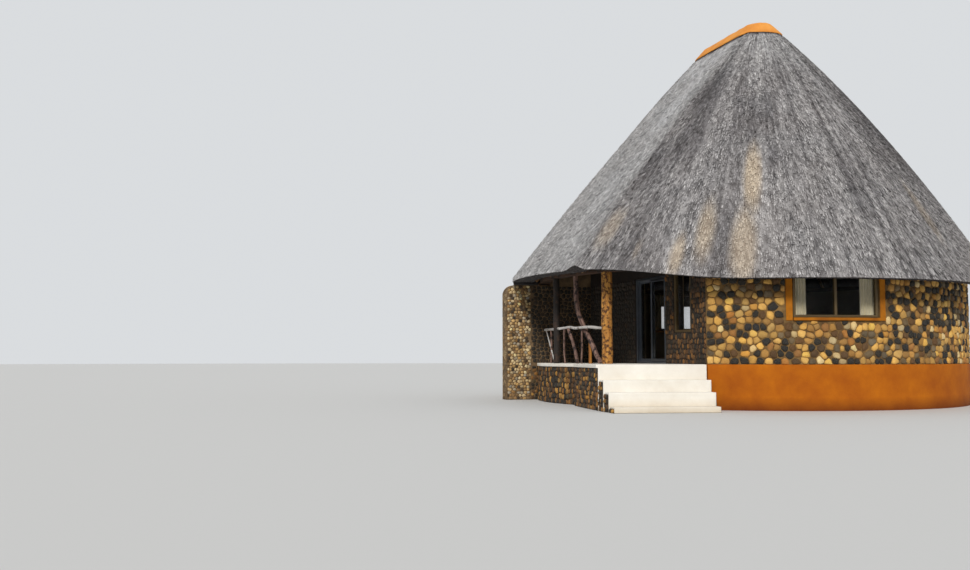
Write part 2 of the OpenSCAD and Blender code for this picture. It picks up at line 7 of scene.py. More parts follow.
import bmesh
import bpy
import numpy as np
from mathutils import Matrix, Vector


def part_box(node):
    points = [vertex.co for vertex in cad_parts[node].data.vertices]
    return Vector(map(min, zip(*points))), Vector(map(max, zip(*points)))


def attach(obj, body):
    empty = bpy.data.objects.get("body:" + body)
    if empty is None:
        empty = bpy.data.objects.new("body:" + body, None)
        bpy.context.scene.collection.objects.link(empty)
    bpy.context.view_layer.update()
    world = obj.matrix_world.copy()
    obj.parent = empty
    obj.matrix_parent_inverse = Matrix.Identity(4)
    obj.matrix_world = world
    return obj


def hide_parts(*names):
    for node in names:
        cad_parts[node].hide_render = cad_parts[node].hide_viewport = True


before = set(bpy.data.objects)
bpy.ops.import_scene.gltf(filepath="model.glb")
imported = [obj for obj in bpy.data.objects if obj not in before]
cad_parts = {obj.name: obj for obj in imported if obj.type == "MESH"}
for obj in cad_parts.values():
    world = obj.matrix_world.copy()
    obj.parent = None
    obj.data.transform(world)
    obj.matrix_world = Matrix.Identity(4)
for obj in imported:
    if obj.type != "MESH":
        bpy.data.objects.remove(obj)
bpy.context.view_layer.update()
HUT = "hut"
DOOR = "sliding_door"

# Sizes read from the frame

FLOOR_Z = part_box("wall_right_front")[0].z
WALL_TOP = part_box("wall_right_front")[1].z
WALL_R = -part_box("wall_right_front")[0].y
WALL_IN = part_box("plinth_fill")[1].x
PLINTH_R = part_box("plinth")[1].x
SLAB_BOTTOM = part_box("floor_slab")[0].z
BEAM_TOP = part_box("ring_beam")[1].z
BEAM_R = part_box("ring_beam")[1].x
BACK_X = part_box("back_wall")[0].x
SCREEN_LOW, SCREEN_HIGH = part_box("screen_wall")
NEAR_AT = math.degrees(math.asin(BACK_X / WALL_R))
FAR_AT = -180 + math.degrees(math.acos(SCREEN_HIGH.y / WALL_R))

# The roof's form, as the frame's thatch has it

EAVE_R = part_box("thatch_right")[1].x
THATCH_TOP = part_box("thatch_front")[1].z
CROWN_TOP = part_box("ridge_crown")[1].z
TOP_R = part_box("ridge_crown")[1].x
HALF_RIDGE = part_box("ridge_crown")[1].y - TOP_R
EAVE_END_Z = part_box("thatch_front")[0].z
EAVE_RISE = 0.34
EAVE_SIDE_Z = EAVE_END_Z + EAVE_RISE
KICK = 0.11
# in degrees: half the kick's width, then how far from a ridge end the eave stays level, the full
# bulge reaches and the hip lies
KICK_REACH = 3.1
LEVEL_TO = 30
BULGE_TO = 50
HIP = 69.5
END_BULGE = 0.42
SIDE_BULGE = 0.13
RAFTER_R = 0.04


def rng(seed):
    """Random draws that are the same on each run."""
    return np.random.default_rng(seed)


def at(r, t):
    """Points at a radius and a bearing in degrees."""
    a = np.radians(t)
    return np.stack([r * np.sin(a), -r * np.cos(a)], -1)


def smooth(v):
    """An even rise from 0 to 1."""
    c = np.clip(v, 0, 1)
    return c * c * (3 - 2 * c)


def unit(v):
    """The same directions, one long."""
    return v / np.linalg.norm(v, axis=-1, keepdims=True)


def from_end(t):
    """Degrees between a bearing and the nearer ridge end."""
    a = np.abs((np.asarray(t, float) % 360 + 540) % 360 - 180)
    return np.minimum(a, 180 - a)


def eave_z(t):
    """Height of the eave: level round the ridge ends, then higher, with a kick at each hip."""
    f = from_end(t)
    kick = KICK * np.clip(1 - np.abs(f - HIP) / KICK_REACH, 0, 1)
    return EAVE_END_Z + (EAVE_SIDE_Z - EAVE_END_Z) * smooth((f - LEVEL_TO) / (HIP - LEVEL_TO)) + kick


def roof_line(t):
    """Eave point, plan direction towards the ridge and plan length, at bearings."""
    t = np.asarray(t, float)
    eave = at(EAVE_R, t)
    top = at(TOP_R, t)
    top[..., 1] += np.clip(-(EAVE_R - TOP_R) * np.cos(np.radians(t)), -HALF_RIDGE, HALF_RIDGE)
    run = np.linalg.norm(top - eave, axis=-1)
    return eave, (top - eave) / run[..., None], run


def roof(t, s):
    """Points on the thatch's upper face: s is 0 at the eave and 1 at the ridge."""
    eave, way, run = roof_line(t)
    s = np.asarray(s, float)
    bulge = END_BULGE + (SIDE_BULGE - END_BULGE) * smooth((from_end(t) - BULGE_TO) / (HIP - BULGE_TO))
    z = eave_z(t) + (THATCH_TOP - eave_z(t)) * s + bulge * 4 * s * (1 - s)
    return np.concatenate([eave + way * (run * s)[..., None], z[..., None]], -1)


# Noise on points, the same on each run

# large odd numbers that scatter the values of neighbouring points
SCATTER = (73856093, 19349663, 83492791, 2654435761, 1274126177)


def lattice(i, seed):
    """A number from 0 to 1 for each point of whole numbers."""
    a, b, c, d, e = SCATTER
    h = (i[..., 0] * a) ^ (i[..., 1] * b) ^ (i[..., 2] * c) ^ (seed * d)
    h = (h ^ (h >> 13)) * e
    return ((h ^ (h >> 16)) & 0xFFFF) / 65535.0


def noise(p, seed=1):
    """Smooth noise from 0 to 1 at points of shape (..., 3)."""
    p = np.asarray(p, float)
    i = np.floor(p).astype(np.int64)
    f = smooth(p - i)
    value = 0
    for corner in range(8):
        c = np.array([corner & 1, corner >> 1 & 1, corner >> 2 & 1])
        value = value + lattice(i + c, seed) * np.prod(np.where(c, f, 1 - f), -1)
    return value


def rough(p, seed=1, octaves=3):
    """Noise from 0 to 1 with finer and weaker noise over it."""
    value, weight, total = 0, 1.0, 0
    for k in range(octaves):
        value = value + weight * noise(np.asarray(p) * 2 ** k, seed + k)
        total += weight
        weight *= 0.5
    return value / total


# Meshes

def mesh_piece(name, verts, faces, body, smooth_faces=True):
    """A mesh object from arrays; its faces all have the same number of corners."""
    n, k = faces.shape
    data = bpy.data.meshes.new(name)
    data.vertices.add(len(verts))
    data.vertices.foreach_set("co", np.asarray(verts, np.float32).ravel())
    data.loops.add(n * k)
    data.loops.foreach_set("vertex_index", faces.astype(np.int32).ravel())
    data.polygons.add(n)
    data.polygons.foreach_set("loop_start", np.arange(0, n * k, k, dtype=np.int32))
    data.update(calc_edges=True)
    data.polygons.foreach_set("use_smooth", [smooth_faces] * len(data.polygons))
    data.validate()
    piece = bpy.data.objects.new(name, data)
    bpy.context.scene.collection.objects.link(piece)
    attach(piece, body)
    return piece


def sheet_faces(columns, rows):
    """Faces of an open grid of points."""
    grid = np.arange(columns * rows).reshape(columns, rows)
    return np.stack([grid[:-1, :-1], grid[1:, :-1], grid[1:, 1:], grid[:-1, 1:]], -1).reshape(-1, 4)


def sleeve_faces(columns, n, hub):
    """Faces of a closed outline of n points in each column; its ends are fans from point hub."""
    grid = np.arange(columns * n).reshape(columns, n)
    a, b = grid[:-1], grid[1:]
    turn = np.roll(np.arange(n), -1)
    quads = np.stack([a, b, b[:, turn], a[:, turn]], -1).reshape(-1, 4)
    order = np.roll(np.arange(n), -hub)
    fan = np.stack([np.full(n - 2, hub), order[1:-1], order[2:]], -1)
    return np.concatenate([quads[:, [0, 1, 2]], quads[:, [0, 2, 3]], grid[0][fan], grid[-1][fan[:, ::-1]]])


def way_along(line):
    """How far along a line each of its points lies."""
    return np.concatenate([[0], np.cumsum(np.linalg.norm(np.diff(line, axis=0), axis=1))])


def work_on(piece):
    """Makes a piece the only one that operators act on."""
    bpy.ops.object.select_all(action="DESELECT")
    piece.select_set(True)
    bpy.context.view_layer.objects.active = piece


LAYER_KINDS = {"value": "FLOAT", "vector": "FLOAT_VECTOR", "color": "FLOAT_COLOR"}


def point_layer(piece, name, field, values):
    """A number, vector or colour on each vertex, which materials read by the layer's name."""
    layer = piece.data.attributes.new(name, LAYER_KINDS[field], "POINT")
    layer.data.foreach_set(field, np.asarray(values, np.float32).ravel())


def linear(rgb):
    """Linear values of a colour written as it looks on screen."""
    c = np.asarray(rgb, float)
    return np.where(c <= 0.04045, c / 12.92, ((c + 0.055) / 1.055) ** 2.4)


# Material parts

def add_node(tree, kind, links=None, numbers=None, operation=None):
    """A new node, with some inputs linked and others set, each by its name or place."""
    node = tree.nodes.new(kind)
    if operation:
        node.operation = operation
    for place, socket in (links or {}).items():
        tree.links.new(socket, node.inputs[place])
    for place, number in (numbers or {}).items():
        node.inputs[place].default_value = number
    return node


def start_group(name, numbers):
    """A node group that takes a vector and numbers, and the sockets that bring them in."""
    group = bpy.data.node_groups.new(name, "ShaderNodeTree")
    group.interface.new_socket(name="Vector", in_out="INPUT", socket_type="NodeSocketVector")
    for label, value in numbers.items():
        socket = group.interface.new_socket(name=label, in_out="INPUT", socket_type="NodeSocketFloat")
        socket.default_value = value
    return group, group.nodes.new("NodeGroupInput").outputs


def end_group(group, masks):
    """Hands masks and heights out of a group, each under its name."""
    for label in masks:
        group.interface.new_socket(name=label, in_out="OUTPUT", socket_type="NodeSocketFloat")
    last = group.nodes.new("NodeGroupOutput")
    for label, socket in masks.items():
        group.links.new(socket, last.inputs[label])
    return group


def make_mottle():
    """Soft patches and a fine grit, as masks and a height."""
    group, given = start_group("mottle", {"Patch Scale": 1.5, "Grit Scale": 60.0})
    patch = add_node(group, "ShaderNodeTexNoise", {"Vector": given["Vector"], "Scale": given["Patch Scale"]},
                     {"Detail": 6, "Roughness": 0.6})
    grit = add_node(group, "ShaderNodeTexNoise", {"Vector": given["Vector"], "Scale": given["Grit Scale"]},
                    {"Detail": 3})
    spread = add_node(group, "ShaderNodeMapRange", {"Value": patch.outputs["Fac"]},
                      {"From Min": 0.35, "From Max": 0.65})
    height = add_node(group, "ShaderNodeMath", {0: patch.outputs["Fac"], 1: grit.outputs["Fac"]},
                      operation="ADD")
    return end_group(group, {"Patches": spread.outputs["Result"], "Grit": grit.outputs["Fac"],
                             "Height": height.outputs["Value"]})


def make_grain():
    """Long wood grain along Z, with knots of darker bark, as masks and a height."""
    group, given = start_group("grain", {"Scale": 30.0, "Bark Scale": 3.0, "Bark From": 0.5})
    squeeze = add_node(group, "ShaderNodeMapping", {"Vector": given["Vector"]}, {"Scale": (1, 1, 0.08)})
    lines = add_node(group, "ShaderNodeTexNoise",
                     {"Vector": squeeze.outputs["Vector"], "Scale": given["Scale"]}, {"Detail": 4})
    bark = add_node(group, "ShaderNodeTexNoise", {"Vector": given["Vector"], "Scale": given["Bark Scale"]},
                    {"Detail": 5, "Roughness": 0.65})
    edge = add_node(group, "ShaderNodeMath", {0: given["Bark From"]}, {1: 0.08}, "ADD")
    cut = add_node(group, "ShaderNodeMapRange",
                   {"From Min": given["Bark From"], "From Max": edge.outputs["Value"],
                    "Value": bark.outputs["Fac"]})
    height = add_node(group, "ShaderNodeMath", {0: lines.outputs["Fac"], 1: cut.outputs["Result"]},
                      operation="ADD")
    return end_group(group, {"Lines": lines.outputs["Fac"], "Bark": cut.outputs["Result"],
                             "Height": height.outputs["Value"]})


MOTTLE = make_mottle()
GRAIN = make_grain()


class Finish:
    """A material with a Principled BSDF and short calls for the nodes that feed it."""

    def __init__(self, name, roughness=0.9, metallic=0.0, follows=None):
        self.material = bpy.data.materials.new(name)
        self.material.use_nodes = True
        self.tree = self.material.node_tree
        self.bsdf = self.tree.nodes["Principled BSDF"]
        self.bsdf.inputs["Roughness"].default_value = roughness
        self.bsdf.inputs["Metallic"].default_value = metallic
        if follows:
            # the pattern follows a vector that the piece's points carry
            self.coords = self.attribute(follows, "Vector")
        else:
            self.coords = add_node(self.tree, "ShaderNodeTexCoord").outputs["Object"]

    def group(self, group, **values):
        """The outputs of one of the node groups, with _ for a space in its inputs' names."""
        node = self.tree.nodes.new("ShaderNodeGroup")
        node.node_tree = group
        self.tree.links.new(self.coords, node.inputs["Vector"])
        for label, value in values.items():
            node.inputs[label.replace("_", " ")].default_value = value
        return node.outputs

    def attribute(self, name, output="Fac"):
        """A number, vector or colour that the piece's points carry."""
        node = self.tree.nodes.new("ShaderNodeAttribute")
        node.attribute_name = name
        return node.outputs[output]

    def mix(self, mask, a, b, mode="MIX"):
        """Colour a where the mask is 0 and b where it is 1."""
        node = self.tree.nodes.new("ShaderNodeMix")
        node.data_type = "RGBA"
        node.blend_type = mode
        for socket, value in ((node.inputs["Factor"], mask), (node.inputs[6], a), (node.inputs[7], b)):
            if isinstance(value, bpy.types.NodeSocket):
                self.tree.links.new(value, socket)
            elif isinstance(value, float):
                socket.default_value = value
            else:
                socket.default_value = (*linear(value), 1)
        return node.outputs[2]

    def span(self, value, low, high, to_low=0.0, to_high=1.0):
        """The value drawn out evenly, so that low and high come to the two new ends."""
        ends = {"From Min": low, "From Max": high, "To Min": to_low, "To Max": to_high}
        return add_node(self.tree, "ShaderNodeMapRange", {"Value": value}, ends).outputs["Result"]

    def along(self, axis, low, high):
        """A mask that rises from 0 at one place on an axis to 1 at another."""
        split = add_node(self.tree, "ShaderNodeSeparateXYZ", {"Vector": self.coords})
        return self.span(split.outputs[axis], low, high)

    def from_middle(self, low, high):
        """A mask that rises from 0 at one distance from the hut's upright axis to 1 at another."""
        flat = add_node(self.tree, "ShaderNodeVectorMath", {0: self.coords}, {1: (1, 1, 0)}, "MULTIPLY")
        length = add_node(self.tree, "ShaderNodeVectorMath", {0: flat.outputs["Vector"]}, operation="LENGTH")
        return self.span(length.outputs["Value"], low, high)

    def feed(self, label, socket):
        """Links a socket to one of the shader's inputs."""
        self.tree.links.new(socket, self.bsdf.inputs[label])

    def bump(self, height, distance, strength=0.6):
        """Raises the surface by the height; the distance is in metres."""
        node = add_node(self.tree, "ShaderNodeBump", {"Height": height},
                        {"Distance": distance, "Strength": strength})
        self.feed("Normal", node.outputs["Normal"])


def rendered_plaster(name, main, stain, low_stain, patch_scale=1.2):
    """Trowelled render or cement: soft stains, and a darker foot where soil splashes."""
    f = Finish(name, roughness=0.88)
    f.bsdf.inputs["Specular IOR Level"].default_value = 0.25
    m = f.group(MOTTLE, Patch_Scale=patch_scale, Grit_Scale=70.0)
    c = f.mix(f.span(m["Patches"], 0, 1, 0.0, 0.8), main, stain)
    foot = f.mix(f.along("Z", 0.0, 0.28), low_stain, (1, 1, 1))
    c = f.mix(1.0, c, foot, "MULTIPLY")
    c = f.mix(f.span(m["Grit"], 0.3, 0.7, 0.0, 0.2), c, stain)
    f.feed("Base Color", c)
    f.bump(m["Height"], 0.006)
    return f.material


def stone_faces(name):
    """Field stones: each has its own colour, with darker veins and pale grit over it."""
    f = Finish(name, roughness=0.82)
    m = f.group(MOTTLE, Patch_Scale=9.0, Grit_Scale=110.0)
    own = f.attribute("stone", "Color")
    c = f.mix(f.span(m["Patches"], 0, 1, 0.0, 0.45), own, (0.70, 0.62, 0.52), "MULTIPLY")
    c = f.mix(f.span(m["Grit"], 0.45, 0.8, 0.0, 0.16), c, (0.85, 0.78, 0.64))
    f.feed("Base Color", c)
    f.bump(m["Height"], 0.012, 0.8)
    return f.material


def mortar_colours(f, main, dark):
    """Coarse sand in a lighter and a darker tone, with its grit raised."""
    m = f.group(MOTTLE, Patch_Scale=5.0, Grit_Scale=90.0)
    f.bump(m["Height"], 0.01, 0.9)
    return f.mix(m["Patches"], main, dark)


def mortar(name, main, dark):
    """Mortar, or the rubble fill under the floor."""
    f = Finish(name, roughness=0.95)
    f.feed("Base Color", mortar_colours(f, main, dark))
    return f.material


ROOM_LIGHT = (0.60, 0.53, 0.42)
ROOM_STAIN = (0.49, 0.42, 0.33)


def plastered_inside(name, main, dark, wall):
    """Mortar between the stones outside, and plain render on the faces towards the room."""
    f = Finish(name, roughness=0.93)
    outside = mortar_colours(f, main, dark)
    stains = f.group(MOTTLE, Patch_Scale=1.1, Grit_Scale=60.0)
    render = f.mix(stains["Patches"], ROOM_LIGHT, ROOM_STAIN)
    if wall == "drum":
        room = f.from_middle(WALL_IN + 0.02, WALL_IN + 0.01)
    else:
        room = f.along("X", BACK_X + 0.22, BACK_X + 0.245)
    f.feed("Base Color", f.mix(room, outside, render))
    return f.material


def peeled_log(name, wood, shade, bark, bark_scale=3.0, follows=None, bark_from=0.5):
    """Wood with a long grain and patches of bark; less of it is left where bark_from is high."""
    f = Finish(name, roughness=0.78, follows=follows)
    g = f.group(GRAIN, Scale=28.0, Bark_Scale=bark_scale, Bark_From=bark_from)
    c = f.mix(f.span(g["Lines"], 0.3, 0.7), wood, shade)
    f.feed("Base Color", f.mix(g["Bark"], c, bark))
    f.bump(g["Height"], 0.008, 0.7)
    return f.material


def reed_thatch(name):
    """Weathered reeds: fine straws with their own shades, over broad patches of age."""
    f = Finish(name, roughness=0.95, follows="lay")
    m = f.group(MOTTLE, Patch_Scale=0.8, Grit_Scale=30.0)
    g = f.group(GRAIN, Scale=110.0, Bark_Scale=9.0, Bark_From=0.55)
    shade = f.attribute("shade")
    grey = f.mix(shade, (0.20, 0.195, 0.21), (0.95, 0.94, 0.94))
    dark = f.mix(shade, (0.08, 0.08, 0.09), (0.68, 0.67, 0.68))
    straw = f.mix(shade, (0.60, 0.53, 0.46), (0.99, 0.93, 0.83))
    pale = f.mix(shade, (0.56, 0.56, 0.57), (0.97, 0.97, 0.97))
    # age and shade hold painted shade under the eave and along the cap's rim, and pale holds painted light on
    # the flat sides
    c = f.mix(f.attribute("age"), grey, dark)
    c = f.mix(f.attribute("fresh"), c, straw)
    c = f.mix(f.attribute("pale"), c, pale)
    c = f.mix(f.span(m["Patches"], 0, 1, 0.0, 0.12), c, (0.56, 0.49, 0.45))
    c = f.mix(f.span(g["Lines"], 0.42, 0.62, 0.0, 0.45), c, (0.55, 0.54, 0.55), "MULTIPLY")
    f.feed("Base Color", c)
    f.bump(g["Lines"], 0.010, 0.8)
    return f.material


def plain_metal(name, colour, roughness, metallic):
    """Metal with faint darker patches, duller or glossier from spot to spot."""
    f = Finish(name, roughness=roughness, metallic=metallic)
    m = f.group(MOTTLE, Patch_Scale=4.0, Grit_Scale=200.0)
    darker = tuple(v * 0.7 for v in colour)
    f.feed("Base Color", f.mix(f.span(m["Patches"], 0, 1, 0.0, 0.35), colour, darker))
    f.feed("Roughness", f.span(m["Grit"], 0, 1, roughness - 0.08, roughness + 0.12))
    return f.material


def window_glass():
    """Clear glass with a little dust, which shows the dim room and the curtains behind it."""
    f = Finish("window_glass", roughness=0.05)
    m = f.group(MOTTLE, Patch_Scale=2.0, Grit_Scale=30.0)
    f.bsdf.inputs["Specular IOR Level"].default_value = 0.3
    f.feed("Base Color", f.mix(m["Patches"], (0.08, 0.09, 0.09), (0.14, 0.14, 0.13)))
    f.feed("Alpha", f.span(m["Patches"], 0, 1, 0.08, 0.16))
    f.feed("Roughness", f.span(m["Grit"], 0, 1, 0.03, 0.12))
    return f.material


def curtain_cloth():
    """Cream cloth with the fine bands of its weave."""
    f = Finish("curtain_cloth", roughness=0.9, follows="lay")
    f.bsdf.inputs["Sheen Weight"].default_value = 0.3
    weave = add_node(f.tree, "ShaderNodeTexWave", {"Vector": f.coords}, {"Scale": 90.0, "Distortion": 1.5})
    bands = f.span(weave.outputs["Fac"], 0, 1, 0.0, 0.3)
    f.feed("Base Color", f.mix(bands, (0.97, 0.94, 0.83), (0.88, 0.82, 0.68)))
    f.bump(weave.outputs["Fac"], 0.002, 0.4)
    return f.material


FINISH = {
    "plinth": rendered_plaster("orange_render", (0.77, 0.44, 0.04), (0.60, 0.29, 0.03), (0.62, 0.55, 0.50)),
    "cement": rendered_plaster("white_cement", (0.96, 0.95, 0.92), (0.88, 0.85, 0.80), (0.90, 0.86, 0.80)),
    "sill": rendered_plaster("sill_render", (0.74, 0.46, 0.08), (0.52, 0.29, 0.05), (1, 1, 1), 2.5),
    "cap": rendered_plaster("terracotta_cement", (0.94, 0.65, 0.31), (0.82, 0.51, 0.21), (1, 1, 1), 2.0),
    "fill": mortar("rubble_fill", (0.45, 0.38, 0.3), (0.3, 0.25, 0.2)),
    "stone": stone_faces("field_stone"),
    "mortar": mortar("dark_mortar", (0.28, 0.19, 0.09), (0.15, 0.10, 0.05)),
    "drum_mortar": plastered_inside("ochre_mortar", (0.54, 0.42, 0.24), (0.34, 0.25, 0.14), "drum"),
    "back_mortar": plastered_inside("shaded_mortar", (0.17, 0.12, 0.09), (0.09, 0.07, 0.05), "back"),
    "screen_mortar": mortar("brown_mortar", (0.50, 0.41, 0.30), (0.33, 0.26, 0.18)),
    "log": peeled_log("peeled_log", (0.80, 0.58, 0.27), (0.58, 0.36, 0.13), (0.33, 0.20, 0.09),
                      15.0, "lay", 0.49),
    "dark_log": peeled_log("barked_log", (0.26, 0.18, 0.13), (0.18, 0.12, 0.09), (0.11, 0.08, 0.06),
                           5.0, "lay", 0.42),
    "branch": peeled_log("weathered_branch", (0.58, 0.46, 0.41), (0.30, 0.21, 0.18), (0.15, 0.10, 0.09),
                         7.0, "lay"),
    "orange_branch": peeled_log("orange_branch", (0.72, 0.49, 0.17), (0.52, 0.31, 0.10), (0.3, 0.18, 0.1),
                                6.0, "lay", 0.6),
    "pale_branch": peeled_log("pale_branch", (0.86, 0.85, 0.84), (0.68, 0.66, 0.64), (0.46, 0.42, 0.38),
                              6.0, "lay", 0.56),
    "beam": peeled_log("dark_timber", (0.34, 0.22, 0.13), (0.2, 0.13, 0.08), (0.14, 0.09, 0.06)),
    "pole": peeled_log("gum_pole", (0.62, 0.47, 0.32), (0.45, 0.32, 0.2), (0.3, 0.22, 0.15)),
    "thatch": reed_thatch("reed_thatch"),
    "bronze": plain_metal("bronze_coat", (0.38, 0.31, 0.19), 0.45, 0.3),
    "door_metal": plain_metal("door_metal", (0.36, 0.38, 0.41), 0.32, 0.85),
    "glass": window_glass(),
    "curtain": curtain_cloth(),
}


def finish_piece(piece, finish):
    """Gives a piece one finish in place of what it had."""
    piece.data.materials.clear()
    piece.data.materials.append(FINISH[finish])


def finish_nodes():
    """Finishes of the nodes themselves: fill, cores of walls, glass, roof timber and thatch."""
    by_finish = {
        "fill": ["plinth_fill"],
        "mortar": ["verandah_base_wall", "landing"],
        "drum_mortar": ["wall_beside_verandah", "wall_under_front_window", "wall_right_front",
                        "wall_under_right_window", "wall_right_back", "wall_under_back_window",
                        "wall_left_back"],
        "back_mortar": ["back_wall_piers", "back_wall_under_window", "back_wall", "back_wall_upper"],
        "screen_mortar": ["screen_wall"],
        "glass": ["window_glass", "door_leaf_glass"],
        "beam": ["ring_beam", "ridge_crown"],
        "pole": ["rafters"],
        "thatch": [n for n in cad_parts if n.startswith("thatch_")],
    }
    for finish, names in by_finish.items():
        for name in names:
            finish_piece(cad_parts[name], finish)


# Thatch

# in steps of one sector's span round the hut, from the front
SECTORS = ["thatch_front", "thatch_front_right", "thatch_right", "thatch_back_right",
           "thatch_back", "thatch_back_left", "thatch_left", "thatch_front_left"]
SECTOR_SPAN = 360 / len(SECTORS)
SHELL_COLUMNS, SHELL_ROWS = 48, 60
REEDS = 14500
STUBBLE = 1600
# shares of a reed bundle's length that lie up and down the slope from its place
REED_UP, REED_DOWN = 0.75, 0.25
TIP_DEEP = 0.014


def roof_up(t, s):
    """Outward unit normals of the thatch, and unit directions down its slope."""
    d = 0.002
    across = roof(t + 0.2, s) - roof(t - 0.2, s)
    down = unit(roof(t, s - d) - roof(t, s + d))
    return unit(np.cross(down, across)), down


def streaks(t, s, seed, fine=34, short=5, share=0.4):
    """Noise drawn out down the slope, from 0 to 1."""
    a = np.radians(np.asarray(t, float))
    p = np.stack([np.cos(a) * 9, np.sin(a) * 9, np.asarray(s) * 1.6], -1)
    q = np.stack([np.cos(a) * fine, np.sin(a) * fine, np.asarray(s) * short], -1)
    return (1 - share) * rough(p, seed) + share * rough(q, seed + 7)


# broad patches: bearing, place up the slope, half width in degrees, half height, weight
FRESH_PATCHES = [(-30.3, 0.29, 1.9, 0.09, 0.9), (-32, 0.09, 2.4, 0.085, 0.75),
                 (-40.6, 0.13, 1.9, 0.085, 0.75), (-45.5, 0.05, 1.4, 0.05, 0.75),
                 (-66, 0.14, 2.4, 0.06, 0.5), (-55, 0.06, 0.8, 0.03, 0.3),
                 (-83, 0.05, 5, 0.05, 0.35), (20, 0.2, 2, 0.09, 0.4), (48, 0.08, 2, 0.07, 0.5),
                 (75, 0.3, 2, 0.1, 0.4), (118, 0.12, 3, 0.1, 0.5), (150, 0.2, 2, 0.13, 0.6),
                 (171, 0.09, 2, 0.08, 0.6), (210, 0.15, 3, 0.1, 0.5), (238, 0.3, 2, 0.1, 0.4)]
AGED_PATCHES = [(-76, 0.89, 10, 0.07, 0.7), (-58, 0.65, 10, 0.13, 0.9), (-30, 0.51, 7, 0.09, 0.7),
                (-65, 0.36, 8, 0.12, 0.7), (-56, 0.44, 8, 0.09, 0.6), (-24, 0.35, 2.2, 0.04, 0.8),
                (-37, 0.09, 3.2, 0.10, 0.6), (0, 0.29, 5, 0.14, 0.5), (-14, 0.72, 8, 0.10, 0.5),
                (40, 0.5, 14, 0.2, 0.7), (120, 0.6, 16, 0.2, 0.7), (200, 0.55, 20, 0.2, 0.8),
                (250, 0.3, 8, 0.2, 0.5)]


def patch_mask(patches, t, s, seed):
    """A mask of ragged patches, each with its weight."""
    t = (np.asarray(t, float) + 180) % 360 - 180
    wave = streaks(t, s, seed) - 0.5
    mask = np.zeros_like(t)
    for bearing, place, wide, tall, weight in patches:
        away = (t - bearing + 180) % 360 - 180
        d = np.hypot(away / wide, (s - place) / tall) + wave * 1.3
        mask = np.maximum(mask, weight * smooth((1.5 - d) / 1.1))
    return mask


CAP_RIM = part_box("ridge_cap")[1].x - TOP_R
# the thatch rolled out flat for its pattern: metres a radian round, and metres up the slope
ACROSS, SLOPE = 4.0, 8.3


def lay_on(t, s, across=0.0, up=0.0):
    """Where a point lies on the thatch rolled out flat, with z up the slope."""
    x = np.radians(np.asarray(t, float)) * ACROSS + across
    z = np.asarray(s, float) * SLOPE + up
    return np.stack([x, x * 0, z], -1)


def clumps(p):
    """Light and dark clumps a few centimetres wide, from 0 to 1."""
    return np.clip((0.45 * noise(p * 19, 61) + 0.55 * noise(p * 37, 62) - 0.5) * 2.6 + 0.5, 0, 1)


def thatch_values(piece, t, s, shade, underside_shade, lay):
    """Shade of each reed with painted shade along the cap's rim and under the eave, masks of rotted and newer
    thatch, a mask of painted light on the flat sides and a paler top, and its lay.
    """
    # painted light: the roof's flat sides are paler and less aged, as where the sky lights them
    flat_side = smooth((from_end(t) - HIP + 1.5) / 3)
    runs = 2.4 * (streaks(t, s, 31, 95, 4, 0.6) - 0.5) + 2.2 * (streaks(t, s, 77, 42, 2.2, 0.8) - 0.5)
    age = 0.30 + runs + patch_mask(AGED_PATCHES, t, s, 41)
    top = smooth((s - 0.64) / 0.3) * (0.65 - 0.9 * runs)
    # painted shadow: a dark line along the thatch just under the cap's rim
    rim = 1 - CAP_RIM / roof_line(t)[2]
    cap_shadow = smooth((s - rim + 0.011) / 0.005)
    # the eave's underside and the stubble under it are darkened with painted shade
    layers = {
        "shade": np.clip(shade, 0, 1) * (1 - 0.9 * cap_shadow) * (1 - 0.75 * underside_shade),
        "age": np.maximum(np.clip(age * (1 - 0.7 * flat_side), 0, 1), underside_shade),
        "fresh": np.clip(patch_mask(FRESH_PATCHES, t, s, 51), 0, 1) * (1 - underside_shade),
        "pale": np.clip(0.95 * flat_side + top, 0, 1) * (1 - cap_shadow) * (1 - underside_shade),
    }
    for name, values in layers.items():
        point_layer(piece, name, "value", values)
    point_layer(piece, "lay", "vector", lay)


def thatch_shell(t0, t1):
    """A closed sector of thatch: ruffled top, level cut eave and plain underside, darkened with painted
    shade.
    """
    t = np.linspace(t0, t1, SHELL_COLUMNS + 1)
    s = np.linspace(0, 1, SHELL_ROWS + 1)
    tt, ss = np.meshgrid(t, s, indexing="ij")
    top = roof(tt, ss)
    up, _ = roof_up(tt, np.clip(ss, 0.004, 0.996))
    # the top edge stays where the frame has it, and the eave's edge lies just inside its reeds
    ease = smooth(ss / 0.05) * smooth((1 - ss) / 0.04)
    sunk = 0.016 * (1 - smooth(ss / 0.05))
    top = top + up * ((streaks(tt, ss, 3) - 0.62) * 0.07 * ease - sunk)[..., None]
    top[..., 2] = np.maximum(top[..., 2], eave_z(tt) + 0.008)
    eave, way, _ = roof_line(t)
    brink = np.concatenate([eave + way * 0.02, eave_z(t)[:, None] + 0.010], -1)
    under_at = [0.0, 0.5, 1.0]
    under = np.stack([brink] + [under_roof(t, k) for k in under_at], 1)
    # the stubble of reed ends hangs from a face a little above the eave's level
    under[:, 1, 2] += 0.012
    outline = np.concatenate([top[:, ::-1], under], 1)
    verts = outline.reshape(-1, 3)
    # the ends are fans from the middle of the underside, which sees the whole outline
    n = outline.shape[1]
    faces = sleeve_faces(len(t), n, SHELL_ROWS + 3)
    at_t = np.repeat(t, n)
    at_s = np.tile(np.concatenate([s[::-1], [0.0], under_at]), len(t))
    # the eave's brink and the underside are darkened with painted shade
    underside_shade = np.tile(np.concatenate([np.zeros(len(s)), np.ones(1 + len(under_at))]), len(t))
    return verts, faces, at_t, at_s, 0.14 + 0.40 * clumps(verts), underside_shade, lay_on(at_t, at_s)


def cross_run(t, r):
    """Plan distance from the eave at which a roof line crosses a circle."""
    eave, way, _ = roof_line(t)
    b = (eave * way).sum(-1)
    return -b - np.sqrt(b * b - (eave ** 2).sum(-1) + r * r)


